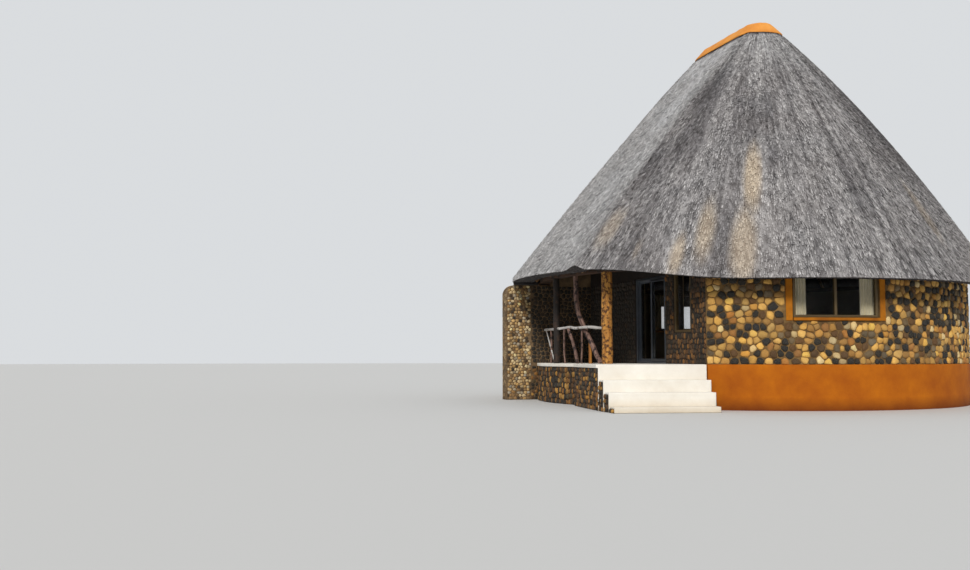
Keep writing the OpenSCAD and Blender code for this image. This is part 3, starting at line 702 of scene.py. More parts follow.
def under_roof(t, k):
    """Points on the underside: k is 0 at the eave's inner lip and 1 at the ridge."""
    eave, way, run = roof_line(t)
    edge = cross_run(t, BEAM_R)
    slope = (CROWN_TOP - BEAM_TOP) / (run - edge)
    over_beam = eave + way * edge[..., None]
    askew = slope * np.linalg.norm(over_beam, axis=-1) / -(over_beam * way).sum(-1)
    thick = RAFTER_R * (np.sqrt(1 + slope ** 2) + np.sqrt(1 + askew ** 2) + (askew ** 2 - slope ** 2) / 2)
    lip = edge - (BEAM_TOP + thick - eave_z(t)) / slope
    u = lip + (run - lip) * k
    z = BEAM_TOP + thick + slope * (u - edge)
    return np.concatenate([eave + way * u[..., None], z[..., None]], -1)


def wedges(corners, faces, t, s, shade, underside_shade, lay):
    """Loose wedges of four corners, with the values of their points."""
    index = (np.arange(len(t)) * 4)[:, None, None] + np.array(faces)
    values = [np.repeat(v, 4) for v in (t, s, shade, np.full(len(t), underside_shade))]
    return np.stack(corners, 1).reshape(-1, 3), index.reshape(-1, 3), *values, lay.reshape(-1, 3)


def reed_bundles(t0, t1, count, seed):
    """Thin wedges of a few reeds, each with its tip buried and its cut end showing."""
    r = rng(seed)
    t = r.uniform(t0, t1, count)
    length = r.uniform(0.08, 0.22, count)
    width = r.uniform(0.0045, 0.010, count)
    lift = r.uniform(0.006, 0.022, count)[:, None]
    # more reeds low down, where the roof is wider, and none hangs past the eave
    s = 1 - np.sqrt(r.uniform(0.003, 1, count))
    s = np.clip(s, length * REED_DOWN / SLOPE, 0.985)
    base = roof(t, s)
    up, down = roof_up(t, np.clip(s, 0.004, 0.996))
    side = np.cross(up, down)
    along = unit(down + side * r.normal(0, 0.05, count)[:, None])
    wide, long = width[:, None], length[:, None]
    tip = base - along * long * REED_UP - up * TIP_DEEP
    foot = base + along * long * REED_DOWN + up * lift
    foot[:, 2] = np.maximum(foot[:, 2], eave_z(t) - 0.004)
    foot[:, :2] *= np.minimum(1, EAVE_R / np.hypot(foot[:, 0], foot[:, 1]))[:, None]
    shade = 0.45 * r.uniform(0, 1, count) + 0.55 * clumps(base)
    flat = np.zeros(count)
    low = -length * REED_DOWN
    lay = np.stack([lay_on(t, s, flat, length * REED_UP), lay_on(t, s, -width, low),
                    lay_on(t, s, width, low), lay_on(t, s, flat, length * -0.3)], 1)
    return wedges([tip, foot - side * wide, foot + side * wide, foot - up * wide * 2.2],
                  [[0, 2, 1], [0, 3, 2], [0, 1, 3], [1, 2, 3]], t, s, shade, 0.0, lay)


def eave_stubble(t0, t1, count, seed):
    """Cut reed ends, which show in the level underside of the eave."""
    r = rng(seed)
    t = r.uniform(t0, t1, count)
    eave, way, _ = roof_line(t)
    lip = np.linalg.norm(under_roof(t, np.zeros(count))[:, :2] - eave, axis=-1)
    u = lip * r.uniform(0.01, 0.98, count)
    low = eave_z(t) + r.uniform(-0.002, 0.014, count)
    foot = np.concatenate([eave + way * u[:, None], low[:, None]], -1)
    slope = unit(np.concatenate([way, np.full((count, 1), 1.25)], -1))
    side = unit(np.cross(slope, np.array([0, 0, 1.0])))
    width = r.uniform(0.007, 0.014, count)[:, None]
    inward = np.concatenate([way, np.zeros((count, 1))], -1)
    tip = foot + slope * r.uniform(0.05, 0.09, count)[:, None]
    shade = r.uniform(0.35, 1, count)
    lay = lay_on(np.repeat(t, 4), np.tile([0.01, 0, 0, 0], count))
    # the stubble under the eave is darkened with painted shade
    return wedges([tip, foot - side * width, foot + side * width, foot + inward * width * 1.6],
                  [[0, 1, 2], [0, 2, 3], [0, 3, 1], [1, 3, 2]], t, np.zeros(count), shade, 0.85, lay)


def build_thatch():
    """Each sector is one piece: its shell, the reed bundles on it and the stubble under its eave."""
    for number, name in enumerate(SECTORS):
        t0, t1 = (number - 0.5) * SECTOR_SPAN, (number + 0.5) * SECTOR_SPAN
        parts = [thatch_shell(t0, t1), reed_bundles(t0, t1, REEDS, 100 + number),
                 eave_stubble(t0, t1, STUBBLE, 200 + number)]
        starts = np.cumsum([0] + [len(part[0]) for part in parts[:-1]])
        faces = np.concatenate([part[1] + start for part, start in zip(parts, starts)])
        verts, _, t, s, shade, underside_shade, lay = (np.concatenate(same) for same in zip(*parts))
        piece = mesh_piece(name + "_reeds", verts, faces, HUT, smooth_faces=False)
        thatch_values(piece, t, s, shade, underside_shade, lay)
        finish_piece(piece, "thatch")
        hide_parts(name)


# Stonework: each stone is a cell of an uneven, staggered grid, domed and rounded

STONE_SIDES = 10
# each ring of a stone, from its foot up: share of its reach and share of its rise
STONE_RINGS = [(1.0, -0.35), (0.94, 0.45), (0.70, 0.90)]
HOLE_MARGIN = 0.02
BED_PROUD = 0.003

# colours as they look on screen, each with its weight
OCHRE_STONES = [((0.92, 0.72, 0.37), 28), ((0.78, 0.58, 0.28), 20), ((0.92, 0.81, 0.58), 7),
                ((0.72, 0.49, 0.22), 6), ((0.47, 0.40, 0.29), 9), ((0.075, 0.07, 0.07), 28),
                ((0.38, 0.26, 0.12), 8)]
DARK_STONES = [((0.56, 0.38, 0.14), 18), ((0.36, 0.23, 0.09), 26), ((0.10, 0.08, 0.06), 34),
               ((0.72, 0.53, 0.23), 14), ((0.30, 0.25, 0.16), 8)]
# painted half shade: darker browns for the back wall from the door to its corner, which lies partly in the
# verandah's shade
HALF_SHADED_STONES = [((0.36, 0.24, 0.12), 30), ((0.22, 0.15, 0.09), 30), ((0.10, 0.08, 0.06), 26),
                ((0.54, 0.37, 0.17), 14)]
SHADED_STONES = [((0.18, 0.13, 0.09), 30), ((0.12, 0.09, 0.07), 40), ((0.07, 0.06, 0.05), 30)]
PALE_STONES = [((0.93, 0.83, 0.64), 22), ((0.80, 0.66, 0.44), 28), ((0.60, 0.47, 0.30), 24),
               ((0.72, 0.67, 0.58), 12), ((0.24, 0.19, 0.14), 14)]


def staggered(x0, x1, y0, y1, size, r):
    """Uneven rows of points over a rectangle."""
    points = []
    step = size * 0.84
    rows = max(1, round((y1 - y0) / step))
    for row in range(rows):
        y = y0 + (row + 0.5) * (y1 - y0) / rows
        x = x0 - size * r.uniform(0, 1)
        while x < x1 + size:
            points.append((x + r.uniform(-0.1, 0.1) * size, y + r.uniform(-0.22, 0.22) * size))
            x += size * r.choice([0.68, 0.9, 1.1, 1.45], p=[0.2, 0.35, 0.3, 0.15])
    p = np.array(points)
    return p[(p[:, 0] > x0) & (p[:, 0] < x1)]


def until(gap, speed):
    """How far each direction can go before it has closed a gap at its speed towards it."""
    with np.errstate(divide="ignore", invalid="ignore"):
        return np.where(speed > 1e-6, gap / speed, np.inf)


def cell_reach(p, k, near, turns, sides):
    """How far cell k reaches in each direction before its neighbours' cells start."""
    way = np.stack([np.cos(turns), np.sin(turns)], -1)
    apart = p[near] - p[k]
    far = until((apart ** 2).sum(-1)[:, None] / 2, apart @ way.T).min(0)
    for normal, limit in sides:
        far = np.minimum(far, until(limit - p[k] @ np.asarray(normal), way @ np.asarray(normal)))
    return way, far


def beside_hole(point, hole):
    """The half plane beside a hole that a stone at this point keeps to."""
    x0, x1, y0, y1 = hole
    clear = [(x0 - point[0], (1, 0), x0), (point[0] - x1, (-1, 0), -x1),
             (y0 - point[1], (0, 1), y0), (point[1] - y1, (0, -1), -y1)]
    return max(clear, key=lambda side: side[0])[1:]


def dome_faces():
    """Triangles of one stone: bands between its rings, and a fan to its top point."""
    a = np.arange(STONE_SIDES)
    b = np.roll(a, -1)
    last = (len(STONE_RINGS) - 1) * STONE_SIDES
    faces = []
    for low in range(0, last, STONE_SIDES):
        high = low + STONE_SIDES
        faces.append(np.stack([low + a, low + b, high + b], -1))
        faces.append(np.stack([low + a, high + b, high + a], -1))
    faces.append(np.stack([last + a, last + b, np.full(STONE_SIDES, last + STONE_SIDES)], -1))
    return np.concatenate(faces)


def dome(middle, way, far, rise, tilt, proud):
    """Points of one stone: its rings, tilted above the foot, and its top point."""
    rings = []
    for share, high in STONE_RINGS:
        flat = way * (far * share)[:, None]
        out = np.minimum(rise * high + (high > 0) * (flat @ tilt), proud)
        rings.append(np.column_stack([flat + middle, out]))
    return np.concatenate([*rings, [[*middle, min(rise, proud)]]])


def stone_panel(name, place, area, size, colours, seed, proud, joint=0.016, holes=(), cut=()):
    """Stones over a flat or rolled-out area; place turns (x, y, out) into points.

    Area and holes are (x0, x1, y0, y1). Each cut is a half plane (normal, limit) that all the
    stones stay inside.
    """
    r = rng(seed)
    x0, x1, y0, y1 = area
    p = staggered(x0, x1, y0, y1, size, r)
    for hole in holes:
        low, high = np.reshape(hole, (2, 2)).T
        p = p[~((p > low - HOLE_MARGIN) & (p < high + HOLE_MARGIN)).all(-1)]
    weights = np.array([w for _, w in colours], float)
    shades = np.array([c for c, _ in colours])
    pick = r.choice(len(shades), len(p), p=weights / weights.sum())
    border = [((-1, 0), -x0), ((1, 0), x1), ((0, -1), -y0), ((0, 1), y1), *cut]
    order = np.arange(STONE_SIDES)
    stones, tones = [], []
    for k in range(len(p)):
        if any(p[k] @ np.asarray(normal) > limit for normal, limit in cut):
            continue
        near = np.flatnonzero((np.abs(p - p[k]).max(-1) < size * 2.2) & (np.arange(len(p)) != k))
        sides = border + [beside_hole(p[k], hole) for hole in holes]
        turns = r.uniform(0, math.tau) + order * math.tau / STONE_SIDES + r.uniform(-0.12, 0.12, STONE_SIDES)
        way, far = cell_reach(p, k, near, turns, sides)
        far = np.minimum(far, np.median(far) * 1.35) - joint / 2
        if far.min() < 0.08 * size or np.median(far) < 0.2 * size:
            continue
        far = far * r.uniform(0.93, 1.0, STONE_SIDES)
        rise = proud * r.uniform(0.55, 1.0)
        tilt = r.normal(0, 0.10, 2)
        stones.append(dome(p[k], way, far, rise, tilt, proud))
        warmth = r.normal(0, 0.015) * np.array([1, 0.2, -1])
        tones.append(np.clip(shades[pick[k]] * r.uniform(0.80, 1.08) + warmth, 0.05, 0.95))
    corners = len(stones[0])
    v = np.concatenate(stones)
    faces = np.concatenate([dome_faces() + i * corners for i in range(len(stones))])
    piece = mesh_piece(name, place(v[:, 0], v[:, 1], v[:, 2]), faces, HUT)
    colour = linear(np.repeat(tones, corners, axis=0))
    point_layer(piece, "stone", "color", np.column_stack([colour, np.ones(len(v))]))
    finish_piece(piece, "stone")


def mortar_bed(name, finish, place, area):
    """Mortar spread over a flat area, which the stones are set in."""
    n = 5
    x, y = np.meshgrid(np.linspace(area[0], area[1], n), np.linspace(area[2], area[3], n), indexing="ij")
    points = place(x.ravel(), y.ravel(), np.full(n * n, BED_PROUD))
    piece = mesh_piece(name, points, sheet_faces(n, n), HUT)
    finish_piece(piece, finish)


def on_drum(radius):
    """Places a rolled-out strip round the drum: x is along the wall at that radius."""
    def place(x, y, out):
        a = x / radius
        return np.stack([(radius + out) * np.sin(a), -(radius + out) * np.cos(a), y], -1)
    return place


def squeezed(place, share):
    """The same places with everything this much narrower along x."""
    return lambda x, y, out: place(x * share, y, out)


def on_plane(origin, along, normal):
    """Places an upright flat area: x runs along from its origin, y up and out along its normal."""
    o, a, n = (np.asarray(v, float) for v in (origin, along, normal))

    def place(x, y, out):
        return o + x[:, None] * a + y[:, None] * np.array([0, 0, 1.0]) + out[:, None] * n
    return place


def on_path(corners, across):
    """Places a strip bent along a path of points in a vertical plane, and gives its length."""
    line = np.asarray(corners, float)
    lengths = way_along(line)
    side = np.asarray(across, float)

    def on_line(x):
        return np.stack([np.interp(x, lengths, line[:, i]) for i in range(3)], -1)

    def place(x, y, out):
        normal = unit(np.cross(on_line(x + 0.01) - on_line(x - 0.01), side))
        return on_line(x) + y[:, None] * side + out[:, None] * normal
    return place, lengths[-1]


# The stair's own frame: x runs along the landing's front edge and -y is the way down

STAIR_TURN = math.radians(-10)
STAIR_WIDE = 2.31
STAIR_X0 = -3.36
STAIR_CORNER = np.array([STAIR_X0, -math.sqrt((PLINTH_R + 0.01) ** 2 - STAIR_X0 ** 2), 0])
STAIR_X = np.array([math.cos(STAIR_TURN), math.sin(STAIR_TURN), 0])
STAIR_Y = np.array([-math.sin(STAIR_TURN), math.cos(STAIR_TURN), 0])
TREAD = 0.33
# what each step draws in at its ends, and the cement on its top and on its riser
STEP_IN = 0.025
TREAD_COAT = 0.035
RISER_COAT = 0.022
LANDING_DEEP = 2.1
# the landing's back shows only from here to its outer corner
BACK_FROM = 2.03
STEPS = ("upper_step", "middle_step", "lower_step")


def on_stair(x, y):
    """A point on the ground in the stair's own frame."""
    return STAIR_CORNER + x * STAIR_X + y * STAIR_Y


def build_stair_stones():
    """The landing's and the steps' flanks are faced with dark stones in mortar."""
    left, right = -STAIR_X, STAIR_X
    place = on_plane(on_stair(-STAIR_WIDE, LANDING_DEEP), -STAIR_Y, left)
    flank = (0, LANDING_DEEP - 0.002, 0, SLAB_BOTTOM)
    mortar_bed("landing_bed", "mortar", place, flank)
    stone_panel("landing_stones_left", place, flank, 0.12, DARK_STONES, 21, 0.028, 0.010)
    back = on_plane(on_stair(-BACK_FROM, LANDING_DEEP), -STAIR_X, STAIR_Y)
    stone_panel("landing_stones_back", back, (0, STAIR_WIDE - BACK_FROM, 0, SLAB_BOTTOM),
                0.11, DARK_STONES, 22, 0.025)
    for i, step in enumerate(STEPS, 1):
        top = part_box(step)[1].z - TREAD_COAT
        away = -i * TREAD
        sides = (("left", on_plane(on_stair(-STAIR_WIDE + i * STEP_IN, away + TREAD), -STAIR_Y, left),
                  (0, TREAD - RISER_COAT, 0, top), 0.038, 22),
                 ("right", on_plane(on_stair(-i * STEP_IN, away), STAIR_Y, right),
                  (RISER_COAT, TREAD, 0, top), 0.018, 25))
        for hand, place, flank, proud, seed in sides:
            mortar_bed(f"{step}_bed_{hand}", "mortar", place, flank)
            stone_panel(f"{step}_stones_{hand}", place, flank,
                        0.10, DARK_STONES, seed + i, proud, 0.010)


SCREEN_CORNER = 0.26
SCREEN_TOP = WALL_TOP - 0.04


def screen_bend(a):
    """How far in from the screen wall's end its rounded corner is, and how high, at an angle."""
    return SCREEN_CORNER * (1 - math.cos(a)), SCREEN_TOP - SCREEN_CORNER * (1 - math.sin(a))


def build_screen_stones():
    """Both faces of the screen wall, and one strip up its end and over its rounded corner."""
    reach, y0, y1 = SCREEN_LOW.x, SCREEN_LOW.y, SCREEN_HIGH.y
    wide = BACK_X - reach
    turn = [math.radians(a) for a in range(0, 91, 6)]
    # the corner is kept clear by its tangents, on faces whose x runs in from the wall's end
    cut = []
    for a in turn[1::3]:
        normal = (-math.cos(a), math.sin(a))
        x, z = screen_bend(a)
        cut.append((normal, normal[0] * x + normal[1] * z - 0.006))
    back_cut = [((-n[0], n[1]), limit - n[0] * wide) for n, limit in cut]
    top = SCREEN_TOP - 0.01
    # painted shade: the part under the eave has near black stones
    outer = -reach - BEAM_R + 0.12
    front = on_plane((reach, y0, 0), (1, 0, 0), (0, -1, 0))
    stone_panel("screen_stones_front", front, (0.012, outer, 0, top),
                0.088, PALE_STONES, 13, 0.022, 0.006, cut=cut)
    stone_panel("screen_stones_inner", front, (outer, wide, FLOOR_Z, top),
                0.12, SHADED_STONES, 17, 0.022, 0.010)
    foot_to = -reach - math.sqrt(PLINTH_R ** 2 - y0 ** 2) + 0.04
    stone_panel("screen_stones_foot", front, (outer, foot_to, 0, SLAB_BOTTOM),
                0.10, DARK_STONES, 19, 0.022, 0.008)
    back = on_plane((BACK_X, y1, 0), (-1, 0, 0), (0, 1, 0))
    back_from = BACK_X + math.sqrt(WALL_IN ** 2 - y1 ** 2)
    stone_panel("screen_stones_back", back, (back_from, wide - 0.012, 0, top),
                0.115, PALE_STONES, 14, 0.022, 0.008, cut=back_cut)
    path = [(reach, y1, 0)] + [(reach + x, y1, z) for x, z in map(screen_bend, turn)]
    end, length = on_path(path + [(-BEAM_R - 0.02, y1, SCREEN_TOP)], (0, -1, 0))
    stone_panel("screen_stones_end", end, (0, length, 0.006, y1 - y0 - 0.006),
                0.095, PALE_STONES, 15, 0.014, 0.006)


WINDOW_LOW, WINDOW_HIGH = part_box("window_surrounds")
WINDOW_MID = -10.4
WINDOWS = {"front": WINDOW_MID, "right": WINDOW_MID + 90, "back": WINDOW_MID + 180}
SURROUND_HALF = 12.05


def build_drum_stones():
    """Cobbles round the drum from the back wall's corner to the screen wall, clear of the windows."""
    degree = WALL_R * math.pi / 180
    holes = [((t - SURROUND_HALF) * degree, (t + SURROUND_HALF) * degree, WINDOW_LOW.z, WINDOW_HIGH.z)
             for t in WINDOWS.values()]
    stone_panel("drum_stones", on_drum(WALL_R),
                (NEAR_AT * degree, (FAR_AT + 360) * degree, FLOOR_Z, WALL_TOP),
                0.165, OCHRE_STONES, 11, 0.036, 0.007, holes=holes)


def build_base_stones():
    """Narrow dark stones on the base wall under the verandah, as far as the landing."""
    radius = PLINTH_R - 0.03
    degree = radius * math.pi / 180
    narrow = 0.62
    start, end = FAR_AT + 1, NEAR_AT - 32
    stone_panel("verandah_base_stones", squeezed(on_drum(radius), narrow),
                (start * degree / narrow, end * degree / narrow, 0.0, SLAB_BOTTOM),
                0.14, DARK_STONES, 12, 0.03, 0.010)


def build_back_wall_stones():
    """The verandah's back wall is stone up to the door, and again from the door to its corner."""
    door_low, door_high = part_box("door_frame")
    side_low, side_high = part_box("back_wall_under_window")
    y0 = SCREEN_LOW.y
    place = on_plane((BACK_X, y0, 0), (0, -1, 0), (-1, 0, 0))
    stone_panel("back_wall_stones", place, (0, y0 - door_high.y, FLOOR_Z, door_high.z),
                0.13, SHADED_STONES, 16, 0.022, 0.010)
    # from the door to the wall's outer corner they are narrow, in darker browns that are painted half shade
    inner_corner = y0 + math.sqrt(WALL_IN ** 2 - BACK_X ** 2)
    outer_corner = y0 + math.sqrt(WALL_R ** 2 - BACK_X ** 2) - 0.01
    top = WALL_TOP - 0.004
    bed = (inner_corner, outer_corner, FLOOR_Z, top)
    mortar_bed("corner_bed", "back_mortar", place, bed)
    narrow = 0.55
    side_window = ((y0 - side_high.y) / narrow, (y0 - side_low.y) / narrow, side_high.z, WALL_TOP)
    stone_panel("corner_stones", squeezed(place, narrow),
                ((y0 - door_low.y) / narrow, outer_corner / narrow, FLOOR_Z, top),
                0.13, HALF_SHADED_STONES, 18, 0.022, 0.010, holes=[side_window])


def build_walls():
    build_drum_stones()
    build_base_stones()
    build_back_wall_stones()
    build_screen_stones()
    build_stair_stones()


# Softened copies of nodes: trowelled cement and old frames have no sharp edges

def merged_copy(node, name):
    """A copy of a node whose loose triangles are joined into whole faces."""
    piece = bpy.data.objects.new(name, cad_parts[node].data.copy())
    bpy.context.scene.collection.objects.link(piece)
    work_on(piece)
    bpy.ops.object.mode_set(mode="EDIT")
    bpy.ops.mesh.select_all(action="SELECT")
    bpy.ops.mesh.remove_doubles(threshold=0.0002)
    bpy.ops.mesh.dissolve_limited(angle_limit=math.radians(0.6))
    bpy.ops.object.mode_set(mode="OBJECT")
    return piece


def wear(piece, grain, wobble, pitch, seed):
    """Cuts a piece into cells of one grain's size and moves their corners in by uneven amounts."""
    shape = bmesh.new()
    shape.from_mesh(piece.data)
    bmesh.ops.triangulate(shape, faces=shape.faces[:])
    corners = np.array([v.co for v in shape.verts])
    low, high = corners.min(0), corners.max(0)
    for axis in np.eye(3):
        span = float((high - low) @ axis)
        for k in range(1, math.ceil(span / grain)):
            parts = shape.verts[:] + shape.edges[:] + shape.faces[:]
            cut_at = low + axis * k * grain
            bmesh.ops.bisect_plane(shape, geom=parts, dist=0.00002, plane_co=cut_at, plane_no=axis)
    bmesh.ops.remove_doubles(shape, verts=shape.verts[:], dist=0.0025)
    bmesh.ops.dissolve_degenerate(shape, edges=shape.edges[:], dist=0.0005)
    bmesh.ops.triangulate(shape, faces=[f for f in shape.faces if len(f.verts) > 3])
    shape.normal_update()
    co = np.array([v.co for v in shape.verts])
    away = np.array([v.normal for v in shape.verts])
    co -= away * (wobble * rough(co * pitch, seed))[:, None]
    for v, c in zip(shape.verts, co):
        v.co = c
    shape.to_mesh(piece.data)
    shape.free()


def softened(node, name, finish, edge, grain=0, wobble=0, seed=0, body=HUT, pitch=5.0):
    """A merged copy of a node with rounded edges and, where it has a grain, a worn surface."""
    piece = merged_copy(node, name)
    bevel = piece.modifiers.new("edges", "BEVEL")
    bevel.width = edge
    bevel.segments = 3
    bevel.limit_method = "ANGLE"
    bevel.angle_limit = math.radians(35)
    bpy.ops.object.modifier_apply(modifier=bevel.name)
    if grain:
        wear(piece, grain, wobble, pitch, seed)
    bpy.ops.object.shade_smooth_by_angle(angle=math.radians(45))
    bpy.ops.object.select_all(action="DESELECT")
    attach(piece, body)
    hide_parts(node)
    finish_piece(piece, finish)


PLINTH_EDGE = 0.016
PLINTH_WEAR = 0.012
PLINTH_COLUMNS = 261


def build_plinth():
    """One coat of render all round the drum's foot, trowelled by eye, with a worn top edge."""
    turns = np.radians(np.linspace(0, 90, 5))[1:]
    line = [(PLINTH_R, z) for z in np.linspace(0, FLOOR_Z - PLINTH_EDGE, 14)]
    line += [(PLINTH_R - PLINTH_EDGE * (1 - math.cos(a)), FLOOR_Z - PLINTH_EDGE * (1 - math.sin(a)))
             for a in turns]
    line += [(WALL_R - 0.05, FLOOR_Z), (WALL_IN, FLOOR_Z), (WALL_IN, 0.0)]
    r, z = np.array(line).T
    # it starts in the plane of the verandah's back wall and ends at the screen wall's far face
    share = np.linspace(0, 1, PLINTH_COLUMNS)[:, None]
    end = np.degrees(np.arcsin(-BACK_X / r))
    t = -end + (360 + FAR_AT + end) * share
    r, z = np.broadcast_arrays(r, z + 0 * t)
    spot = np.concatenate([at(r, t), z[..., None]], -1)
    worn = PLINTH_WEAR * rough(spot * 2.2, 36) * (r > WALL_R)
    points = np.concatenate([at(r - worn, t), z[..., None]], -1)
    faces = sleeve_faces(PLINTH_COLUMNS, len(line), 0)
    piece = mesh_piece("plinth_render", points.reshape(-1, 3), faces, HUT)
    work_on(piece)
    bpy.ops.object.shade_smooth_by_angle(angle=math.radians(40))
    bpy.ops.object.select_all(action="DESELECT")
    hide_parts("plinth")
    finish_piece(piece, "plinth")


def build_cement():
    """Trowelled cement on the stair, floor, window surrounds and ridge."""
    softened("landing_slab", "landing_cement", "cement", 0.012, 0.09, 0.005, 31)
    for i, step in enumerate(STEPS):
        softened(step, step + "_cement", "cement", 0.014, 0.07, 0.006, 32 + i)
    softened("floor_slab", "floor_cement", "cement", 0.010)
    softened("window_surrounds", "window_render", "sill", 0.014, 0.07, 0.010, 37)
    softened("ridge_cap", "ridge_cement", "cap", 0.018, 0.07, 0.022, 38, pitch=6.0)


def build_frames():
    """Window and door sections with slightly rounded edges."""
    softened("window_frames", "bronze_frames", "bronze", 0.004)
    softened("door_frame", "door_sections", "door_metal", 0.003)
    softened("door_leaf", "sliding_leaf", "door_metal", 0.003, body=DOOR)


# Verandah timber, along the lines of the frame's posts, rail, balusters and trunk

POST_RING = WALL_R - 0.17
CORNER_POST, MIDDLE_POST = -67.5, -92
SCREEN_HIT = -180 + math.degrees(math.acos(SCREEN_LOW.y / POST_RING))
RAIL_Z = FLOOR_Z + 0.835
RAIL_R = 0.032
RAIL_STOPS = [np.append(at(POST_RING, t), RAIL_Z) for t in (CORNER_POST, MIDDLE_POST, SCREEN_HIT)]
# each bend or mark is a share of the span and a rise, or a share of the height from the foot up
RAIL_BENDS = [[(0, -0.028), (0.13, -0.028), (0.35, 0.005), (0.6, -0.006), (0.72, 0.020), (0.92, 0), (1, 0)],
              [(0, 0), (0.16, -0.004), (0.67, 0.014), (1, 0.022)]]
# span, radius, finish and marks
BALUSTERS = [(0, 0.041, "branch", [(0.57, 0), (0.597, 0.26), (0.644, 0.54), (0.701, 0.78), (0.752, 1)]),
             (0, 0.024, "branch", [(0.488, 0), (0.478, 0.5), (0.483, 1)]),
             (0, 0.022, "branch", [(0.818, 0), (0.838, 0.4), (0.833, 1)]),
             (1, 0.024, "branch", [(0.1, 0), (0.07, 1)]),
             (1, 0.017, "pale_branch", [(0.137, 0), (0.868, 1)]),
             (1, 0.024, "branch", [(0.45, 0), (0.418, 0.6), (0.44, 1)])]
TRUNK_R = 0.058
TRUNK_IN = (RAIL_R + TRUNK_R) * 1.06 + 0.002
# share of the first span, share of the wall's height, and distance in from the rail
TRUNK = [(0.184, 0, TRUNK_IN), (0.263, 0.096, TRUNK_IN), (0.343, 0.208, TRUNK_IN), (0.47, 0.368, TRUNK_IN),
         (0.543, 0.473, TRUNK_IN), (0.611, 0.579, TRUNK_IN), (0.626, 0.73, 0.06), (0.596, 0.905, 0.01),
         (0.586, 1, -0.02)]
PROP_AT = 0.385
PROP_R = 0.038


def on_span(i, share, inward=0.0):
    """A point over the rail's line in plan, with its height left at the rail's."""
    a, b = RAIL_STOPS[i], RAIL_STOPS[i + 1]
    way = (b - a) / np.linalg.norm(b - a)
    normal = np.array([-way[1], way[0], 0]) * (-1 if way[1] > 0 else 1)
    return a + (b - a) * share + normal * inward


def on_rail(i, share):
    """A point on the crooked middle line of the rail."""
    shares, rises = zip(*RAIL_BENDS[i])
    return on_span(i, share) + np.array([0, 0, np.interp(share, shares, rises)])


def soft_line(points, spacing):
    """Close points on a soft curve through the given ones."""
    p = np.asarray(points, float)
    ends = np.concatenate([[2 * p[0] - p[1]], p, [2 * p[-1] - p[-2]]])
    line = []
    for i in range(len(p) - 1):
        a, b, c, d = ends[i:i + 4]
        count = max(2, round(np.linalg.norm(c - b) / spacing))
        for u in np.arange(count) / count:
            bend = 2 * b + (c - a) * u + (2 * a - 5 * b + 4 * c - d) * u * u
            line.append(0.5 * (bend + (3 * b - a - 3 * c + d) * u ** 3))
    line.append(p[-1])
    return np.array(line)


def branch(name, node, points, radius, finish, seed, knots=0.12, spacing=0.035, sides=4):
    """A crooked branch: a round line drawn through its points, then made knotty."""
    line = soft_line(points, spacing)
    far = way_along(line)
    swell = 1 + knots * (2 * rough(np.stack([far * 4, far * 0, far * 0], -1) + seed, seed) - 1)
    swell = np.minimum(swell, 1.12)
    drawn = bpy.data.curves.new(name, "CURVE")
    drawn.dimensions = "3D"
    drawn.bevel_depth = radius
    drawn.bevel_resolution = sides
    drawn.use_fill_caps = True
    spline = drawn.splines.new("POLY")
    spline.points.add(len(line) - 1)
    spline.points.foreach_set("co", np.concatenate([line, np.ones((len(line), 1))], 1).ravel())
    spline.points.foreach_set("radius", swell)
    piece = bpy.data.objects.new(name, drawn)
    bpy.context.scene.collection.objects.link(piece)
    work_on(piece)
    bpy.ops.object.convert(target="MESH")
    bpy.ops.object.shade_smooth_by_angle(angle=math.radians(50))
    mesh = piece.data
    co = np.empty(len(mesh.vertices) * 3)
    mesh.vertices.foreach_get("co", co)
    co = co.reshape(-1, 3)
    nearest = np.linalg.norm(co[:, None] - line[None], axis=-1).argmin(1)
    out = co - line[nearest]
    lay = np.concatenate([out[:, :2] + out[:, 2:] * 0.7, far[nearest][:, None] + seed], 1)
    bumps = rough(lay * np.array([1.2 / radius, 1.2 / radius, 7]), seed + 5) - 0.5
    co = co + out * (2 * knots * bumps)[:, None]
    mesh.vertices.foreach_set("co", co.ravel())
    point_layer(piece, "lay", "vector", lay)
    mesh.update()
    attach(piece, HUT)
    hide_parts(node)
    finish_piece(piece, finish)


def build_posts(foot, top):
    """The thick corner log and the thinner middle post, both a little bent."""
    for name, t, r, finish, seed in (("corner_post", CORNER_POST, 0.122, "log", 3),
                                     ("middle_post", MIDDLE_POST, 0.078, "dark_log", 4)):
        p = at(POST_RING, t)
        bend = rng(seed).uniform(-0.012, 0.012, (5, 2))
        bend[0] = bend[-1] = 0
        line = [(*(p + b), z) for b, z in zip(bend, np.linspace(foot, top, 5))]
        branch(name, "verandah_posts", line, r, finish, seed, knots=0.05, spacing=0.03, sides=8)


def build_railing(foot):
    """The pale rail in its two spans, and the crooked sticks under it."""
    for i, bends in enumerate(RAIL_BENDS):
        line = [on_rail(i, share) for share, _ in bends]
        branch(f"rail_{i + 1}", "verandah_rail", line, RAIL_R, "pale_branch", 11 + i,
               knots=0.14)
    for k, (i, r, finish, marks) in enumerate(BALUSTERS):
        top = on_rail(i, marks[-1][0])[2] - RAIL_R * 0.9
        line = [np.append(on_span(i, share)[:2], foot + (top - foot) * up) for share, up in marks]
        branch(f"baluster_{k + 1}", "balusters", line, r, finish, 21 + k)


def build_trunk(foot, top):
    """The leaning trunk, and the prop that stands under its lower part."""
    line = [np.append(on_span(0, share, inward)[:2], foot + (top - foot) * up) for share, up, inward in TRUNK]
    branch("leaning_trunk_wood", "leaning_trunk", line, TRUNK_R, "branch", 41, knots=0.10, sides=6)
    low, high = line[2], line[3]
    share = (PROP_AT - TRUNK[2][0]) / (TRUNK[3][0] - TRUNK[2][0])
    x, y, _ = on_span(0, PROP_AT, TRUNK_IN)
    prop_top = low[2] + (high[2] - low[2]) * share - TRUNK_R
    prop = [(x, y, z) for z in (foot, (foot + prop_top) / 2, prop_top)]
    branch("trunk_prop", "leaning_trunk", prop, PROP_R, "orange_branch", 42, knots=0.08)


